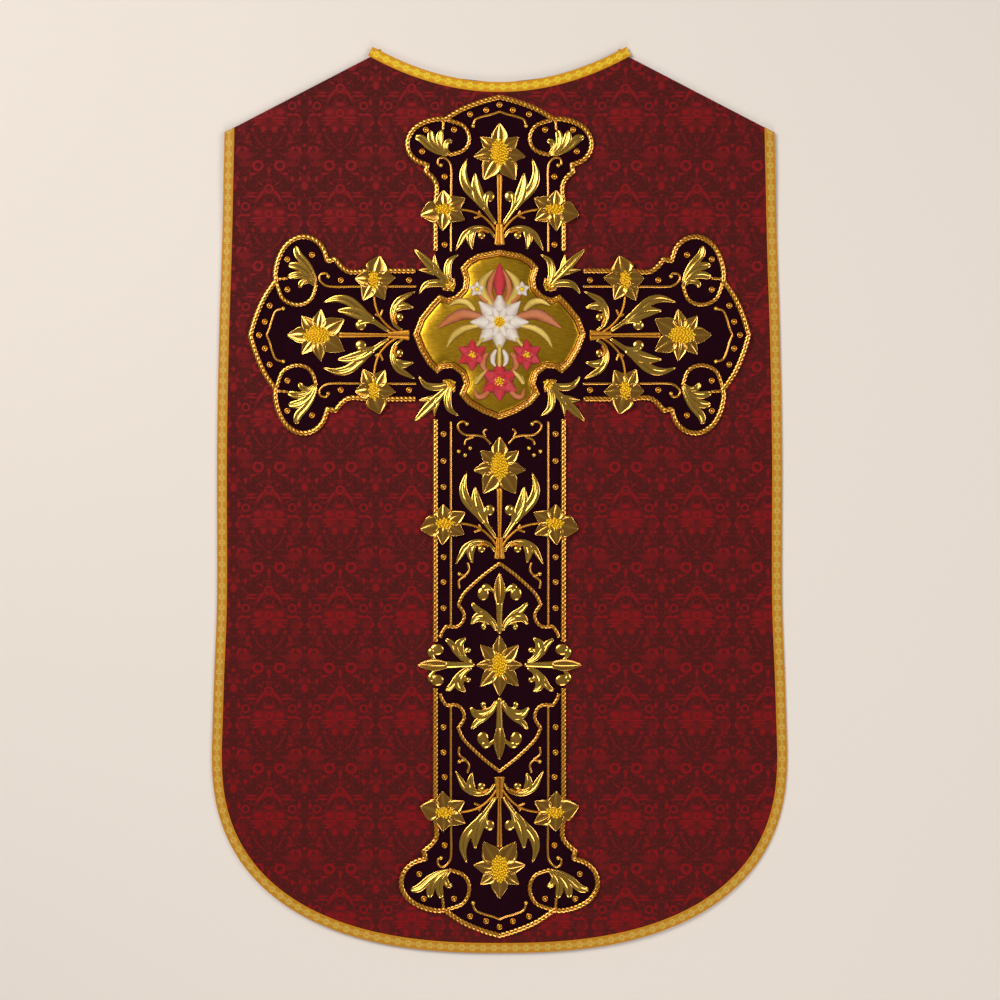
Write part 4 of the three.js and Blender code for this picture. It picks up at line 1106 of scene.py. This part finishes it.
# %% Paths of the thin cords
LINE_HALF, LINE_HEIGHT, BALL = 1.7, 2.2, 2.9
END_LINES = [
    [(33, 146), (30, 153.2), (19.3, 157.4), (9.2, 159.9), (0, 163.2)],
    [(60.5, 50), (60.5, 68), (60.3, 88), (62, 98.8), (69.5, 105.5), (76, 103.8), (77, 97.9), (73.5, 95.6)],
]
STEM_TWIGS = [[(22.6, 33.5), (24.5, 36.5), (26, 39.5)], [(22.6, 33.5), (27.5, 31.5), (31.8, 30)]]
SPRAY_LINES = [[(40, -8), (38, -17.5), (43, -24), (49, -22.8)], [(42, -24.7), (50.5, -31), (50, -40.7)]]
SHAFT_LINES = [
    [(11, 140), (19, 148), (28.7, 150.7), (43, 151.5), (51, 157.9), (51.8, 164.2), (46.2, 168.2),
     (41, 165.5)],
    [(17.5, 148.3), (20, 154.7), (16, 158.7)],
    [(32, 149), (41.5, 145), (43.8, 138.7)],
]
END_BALLS, SPRAY_BALLS = [(33, 145), (73.2, 95.8)], [(50.2, -22.3)]
SHAFT_BALLS = [(40.7, 165), (51, 130.7), (36.7, 134.7), (43, 126)]
# straight lines along the cross: their distance from its middle, and the two ends of each run
LINE_AT, END_RUN = 60.8, (-12, 51)
LONG_RUNS = {"foot": (-91, 51), "shaft": (-86, 168)}
MIDDLE_SPANGLE = [(0, 171.6)]
SPANGLES = [(16.7, 165.2), (36.8, 159.9), (92, 140.6), (56.9, 140.6), (96.6, 113.5), (68.6, 82), (68.6, -3)]
SHAFT_SPANGLES = [(70, y) for y in (82.5, 48.8, 16.3, -71.3, -102.5, -135, -283.6, -315.3)]
print("thin cords on one side of an end:", len(END_LINES) + len(STEM_TWIGS) + 1)


# %% Thin couched cords
def thin(path):
    """A smooth thin cord through the points."""
    return twisted(smooth(path, 12 * (len(path) - 1)), LINE_HALF, LINE_HEIGHT, 2.2, strands=2, around=8)


def ball(spot):
    """A turned-in end: a ball, flattened where it meets the velvet."""
    part = copies(bead(BALL, around=12), [(*spot, WORK + 0.6 * BALL)])
    part["points"][:, 2] = np.maximum(part["points"][:, 2], WORK)
    return part


cord_parts, spots = [], []
for name, unit in UNITS.items():
    on_shaft = name == "shaft"
    lines = STEM_TWIGS + SHAFT_LINES if on_shaft else END_LINES + STEM_TWIGS
    balls = SHAFT_BALLS if on_shaft else END_BALLS
    for side in (-1, 1):
        put = partial(place, unit=unit, side=side, swell=True)
        run = [(LINE_AT, v) for v in LONG_RUNS.get(name, END_RUN)]
        cord_parts += [thin(place(run, unit, side))] + [thin(put(path)) for path in lines]
        cord_parts += [ball(spot) for spot in put(balls)]
        if not on_shaft:
            spots += put(SPANGLES).tolist()
        if name in LONG_RUNS:
            cord_parts += [thin(put(path)) for path in SPRAY_LINES] + [ball(put(SPRAY_BALLS)[0])]
    if not on_shaft:
        spots += place(MIDDLE_SPANGLE, unit, 1, True).tolist()
for side in (-1, 1):
    spots += [(side * x, y) for x, y in SHAFT_SPANGLES]
piece("couched_lines", cord_parts, [CORD], ())
print("thin cords and their ends:", len(cord_parts))


# %% Spangles
RING_RADIUS, RING_HALF, RING_HEIGHT, BEAD_RADIUS = 2.9, 0.85, 1.2, 1.8


def small_ring(around=16, section=6):
    """A ring of round wire: radius R + r cos(a) and height h (1 + sin(a)) / 2, pushed round the circle."""
    a = np.linspace(0, 2 * np.pi, section, endpoint=False)
    turn = np.linspace(0, 2 * np.pi, around, endpoint=False)[:, None]
    radius = RING_RADIUS + RING_HALF * np.cos(a)
    lift = (1 + np.sin(a)) / 2
    plan = np.stack([radius * np.cos(turn), radius * np.sin(turn)], axis=2)
    # tone rises to 0.35 on top of the wire: painted light on top, painted shade below
    return grid(plan, RING_HEIGHT * lift, None, 0.35 * lift, wrap_rows=True)


spots = np.column_stack([spots, np.full(len(spots), WORK)])
beads = copies(bead(BEAD_RADIUS, around=8), spots + (0, 0, 1.0))
piece("spangles", [copies(small_ring(), spots), beads], [SPANGLE], ())
print("spangles:", len(spots))


# %% [markdown]
# ## The medallion
# The middle of the cross is a padded field of gilt satin inside a roped frame. On it lies a posy in
# satin stitch. Padding is crowned: the field rises towards its middle.

# %% Roped frame
FRAME_HALF = [
    (0, 107), (27, 102), (40, 94.5), (49.5, 84), (45, 70), (46.5, 59), (55, 50), (65, 46.5), (75.5, 51),
    (87, 39), (100.5, 22), (108.5, 1), (100.5, -19.5), (90, -37), (78, -48.5), (70, -42.5), (59, -41.5),
    (48.5, -49.5), (45, -60.5), (51, -74), (40, -87), (21, -98), (0, -106),
]
FRAME_WIDTH, FRAME_HEIGHT, RIBBON_HEIGHT, FRAME_STEP = 7.5, 3, 1.6, 1.5
frame_half = np.array(FRAME_HALF, float)
frame_line = np.concatenate([frame_half, frame_half[1:-1][::-1] * (-1, 1)]) + (0, CROSS_Y)
frame_line = even(np.concatenate([frame_line, frame_line[:1]]), FRAME_STEP)[:-1]


def inset(line, distance):
    """A closed line moved inwards. The frame's line runs clockwise, so inwards is to its right."""
    return line - sideways(line, True) * distance


# a low rounded ribbon under a thick outer and a thin inner cord
share = ((S + 1) / 2)[:, None]
band = frame_line[:, None] * (1 - share) + inset(frame_line, FRAME_WIDTH)[:, None] * share
closed_line = np.concatenate([frame_line, frame_line[:1]])
parts = [
    grid(band, WORK + RIBBON_HEIGHT * DOME, None, 0.2, 1, wrap_rows=True),
    twisted(inset(closed_line, 2.7), 2.6, FRAME_HEIGHT, strand=5),
    twisted(inset(closed_line, 6.4), 1.1, FRAME_HEIGHT * 0.8, strand=2.6, strands=2, around=10),
]
piece("medallion_rope", parts, [ROPE, CORD], ["medallion_frame"])
print("round the frame:", round(lengths(closed_line)[-1]), "mm")


# %% Padded field
FIELD_LOW, FIELD_HIGH = (corner[2] for corner in box_mm("medallion_field"))
FIELD_INSET, PADDING_EDGE, SLACK = FRAME_WIDTH + 0.3, 17, 0.12
SHARES = np.array([1, 1, 0.985, 0.96, 0.93, 0.89, 0.84, 0.78, 0.7, 0.6, 0.48, 0.34, 0.18])
field_line = inset(frame_line, FIELD_INSET)
# at sharp corners the moved line crosses itself, so points that come too near the frame are dropped
frame_gap = np.linalg.norm(field_line[:, None] - frame_line, axis=2).min(1)
field_line = field_line[frame_gap > FIELD_INSET - SLACK]
plan = (field_line - (0, CROSS_Y))[None] * SHARES[:, None, None] + (0, CROSS_Y)
# the padding rises like a quarter circle over its outer 17 mm
edge_gap = np.linalg.norm(plan[:, :, None] - field_line, axis=3).min(2)
rise = np.sqrt(1 - (1 - (edge_gap / PADDING_EDGE).clip(0, 1)) ** 2)
level = FIELD_LOW + (FIELD_HIGH - FIELD_LOW) * (0.3 + 0.7 * rise)
level[0] = FIELD_LOW
field = piece("medallion_satin", [grid(plan, level)], [SATIN], ["medallion_field"])
print("medallion field from", round(FIELD_LOW, 2), "to", round(FIELD_HIGH, 2))


# %% The posy
POSY_SILKS = [IVORY, CRIMSON, AUBURN, GOLD_FLOSS, BULLION]
# each bloom: middle, number of petals, their reach, radius of the core, silk
POSY_BLOOMS = [
    ((0, 16), 8, 37, 10, 0), ((-34, -25), 6, 20, 5.5, 1), ((34, -25), 6, 20, 5.5, 1),
    ((0, -58), 6, 25, 7, 1), ((-28, 57), 5, 10, 3.2, 0), ((28, 57), 5, 10, 3.2, 0),
]
# each leaf: profile, width, silk, path
POSY_LEAVES = [
    ("bar", 5, 3, [(8, 6), (22, -6), (32, -18)]),
    ("blade", 14, 2, [(20, 22), (44, 26), (60, 20), (78, 8)]),
    ("blade", 12, 3, [(4, 30), (21, 54), (20, 68), (7, 82)]),
    ("bar", 5, 2, [(14, 40), (20, 44), (24.5, 49), (27.5, 55)]),
    ("blade", 8, 2, [(6, 40), (12, 54), (10, 70), (2, 84)]),
    ("blade", 9, 3, [(30, 30), (40, 40), (52, 42), (64, 36)]),
    ("blade", 9, 2, [(14, -22), (20, -30), (20, -40), (12, -48)]),
    ("blade", 7, 0, [(4, -18), (8, -26), (8, -34), (4, -40)]),
    ("blade", 9, 3, [(24, 12), (44, 8), (58, -2), (66, -16)]),
    ("blade", 8, 2, [(10, -66), (20, -76), (28, -76), (31, -66)]),
    ("blade", 6, 3, [(16, -44), (24, -52), (30, -60), (28, -50)]),
]
POSY_MIDDLE = [("bar", 6, 3, [(0, 0), (0, -50)]), ("blade", 15, 1, [(0, 48), (0, 62), (0, 76), (0, 90)])]
INNER_SHARE, INNER_RISE, STITCH_HEIGHT = 0.62, 0.8, 2
parts = []
for centre, petals, reach, core, ink in POSY_BLOOMS:
    for share, start, lift in ((1, 0.5, 0), (INNER_SHARE, 0.5 + 1 / petals, INNER_RISE)):
        turn = (start + np.arange(petals) * 2 / petals) * np.pi
        tips = reach * share * np.stack([np.cos(turn), np.sin(turn)], axis=1)
        parts += flower_parts(np.array(centre) + (0, CROSS_Y), tips, (core * share,) * 2, POSY_LEVEL + lift,
                              ink, 4, "stitched")
for side in (-1, 1):
    for profile, width, ink, path in POSY_LEAVES + POSY_MIDDLE * (side == 1):
        path = np.array(path, float) * (side, 1) + (0, CROSS_Y)
        parts.append(leaf(path, width, profile, POSY_LEVEL, STITCH_HEIGHT, "stitched", ink))
piece("medallion_blooms", parts, POSY_SILKS, ["medallion_posy"])
print("posy parts:", len(parts))


# %% [markdown]
# ## Sheets
# The panels are not rectangles, so their flat areas are given where they are built.


# %% [markdown]
# ## Floor, light and camera
# The photo is lit softly and evenly, seen from straight above. Gold needs something dark as well as
# something bright to mirror, so the lamps are large but leave dark gaps between them.

# %% Floor
bpy.ops.mesh.primitive_plane_add(size=12)
floor = bpy.context.object
floor.name = "floor"
floor.location.z = -0.0006
# matt emulsion paint: pale and even
FLOOR, _, finish = new_material("floor_paint")
finish(Base_Color=linear("#F2E6DA"), Roughness=0.9)
floor.data.materials.append(FLOOR)
print("floor just under the garment, at", floor.location.z, "m")


# %% Lights
def lamp(name, at, aim, size, watts):
    """A square area light, turned so that its -Z axis points along the line from at to aim."""
    data = bpy.data.lights.new(name, "AREA")
    data.size, data.energy = size, watts
    made = placed(name, data)
    made.location = at
    made.rotation_mode = "QUATERNION"
    made.rotation_quaternion = (made.location - type(made.location)(aim)).to_track_quat("Z", "Y")


lamp("key", (-1.4, 1.05, 2.4), (0, 0, 0), 1.5, 52)
lamp("fill", (2.1, 0.4, 2.1), (0, 0, 0), 1.2, 24)
lamp("low", (0.3, -2.2, 1.8), (0, -0.1, 0), 1.2, 21)
world = bpy.data.worlds.new("studio")
bpy.context.scene.world = world
world.use_nodes = True
fill(world.node_tree.nodes["Background"], Color=linear("#FFFFFF"), Strength=0.14)
bpy.context.scene.view_settings.view_transform = "Standard"


# %% Camera
VIEW_MM, LENS_MM, SENSOR_MM, GARMENT_MM = 1250, 85, 36, 5
camera = bpy.data.cameras.new("camera")
camera.lens, camera.sensor_width = LENS_MM, SENSOR_MM
eye = placed("camera", camera)
eye.location = (0.0006, 0, (VIEW_MM * LENS_MM / SENSOR_MM + GARMENT_MM) * MM)
bpy.context.scene.camera = eye
print("camera height in metres:", round(eye.location.z, 3))
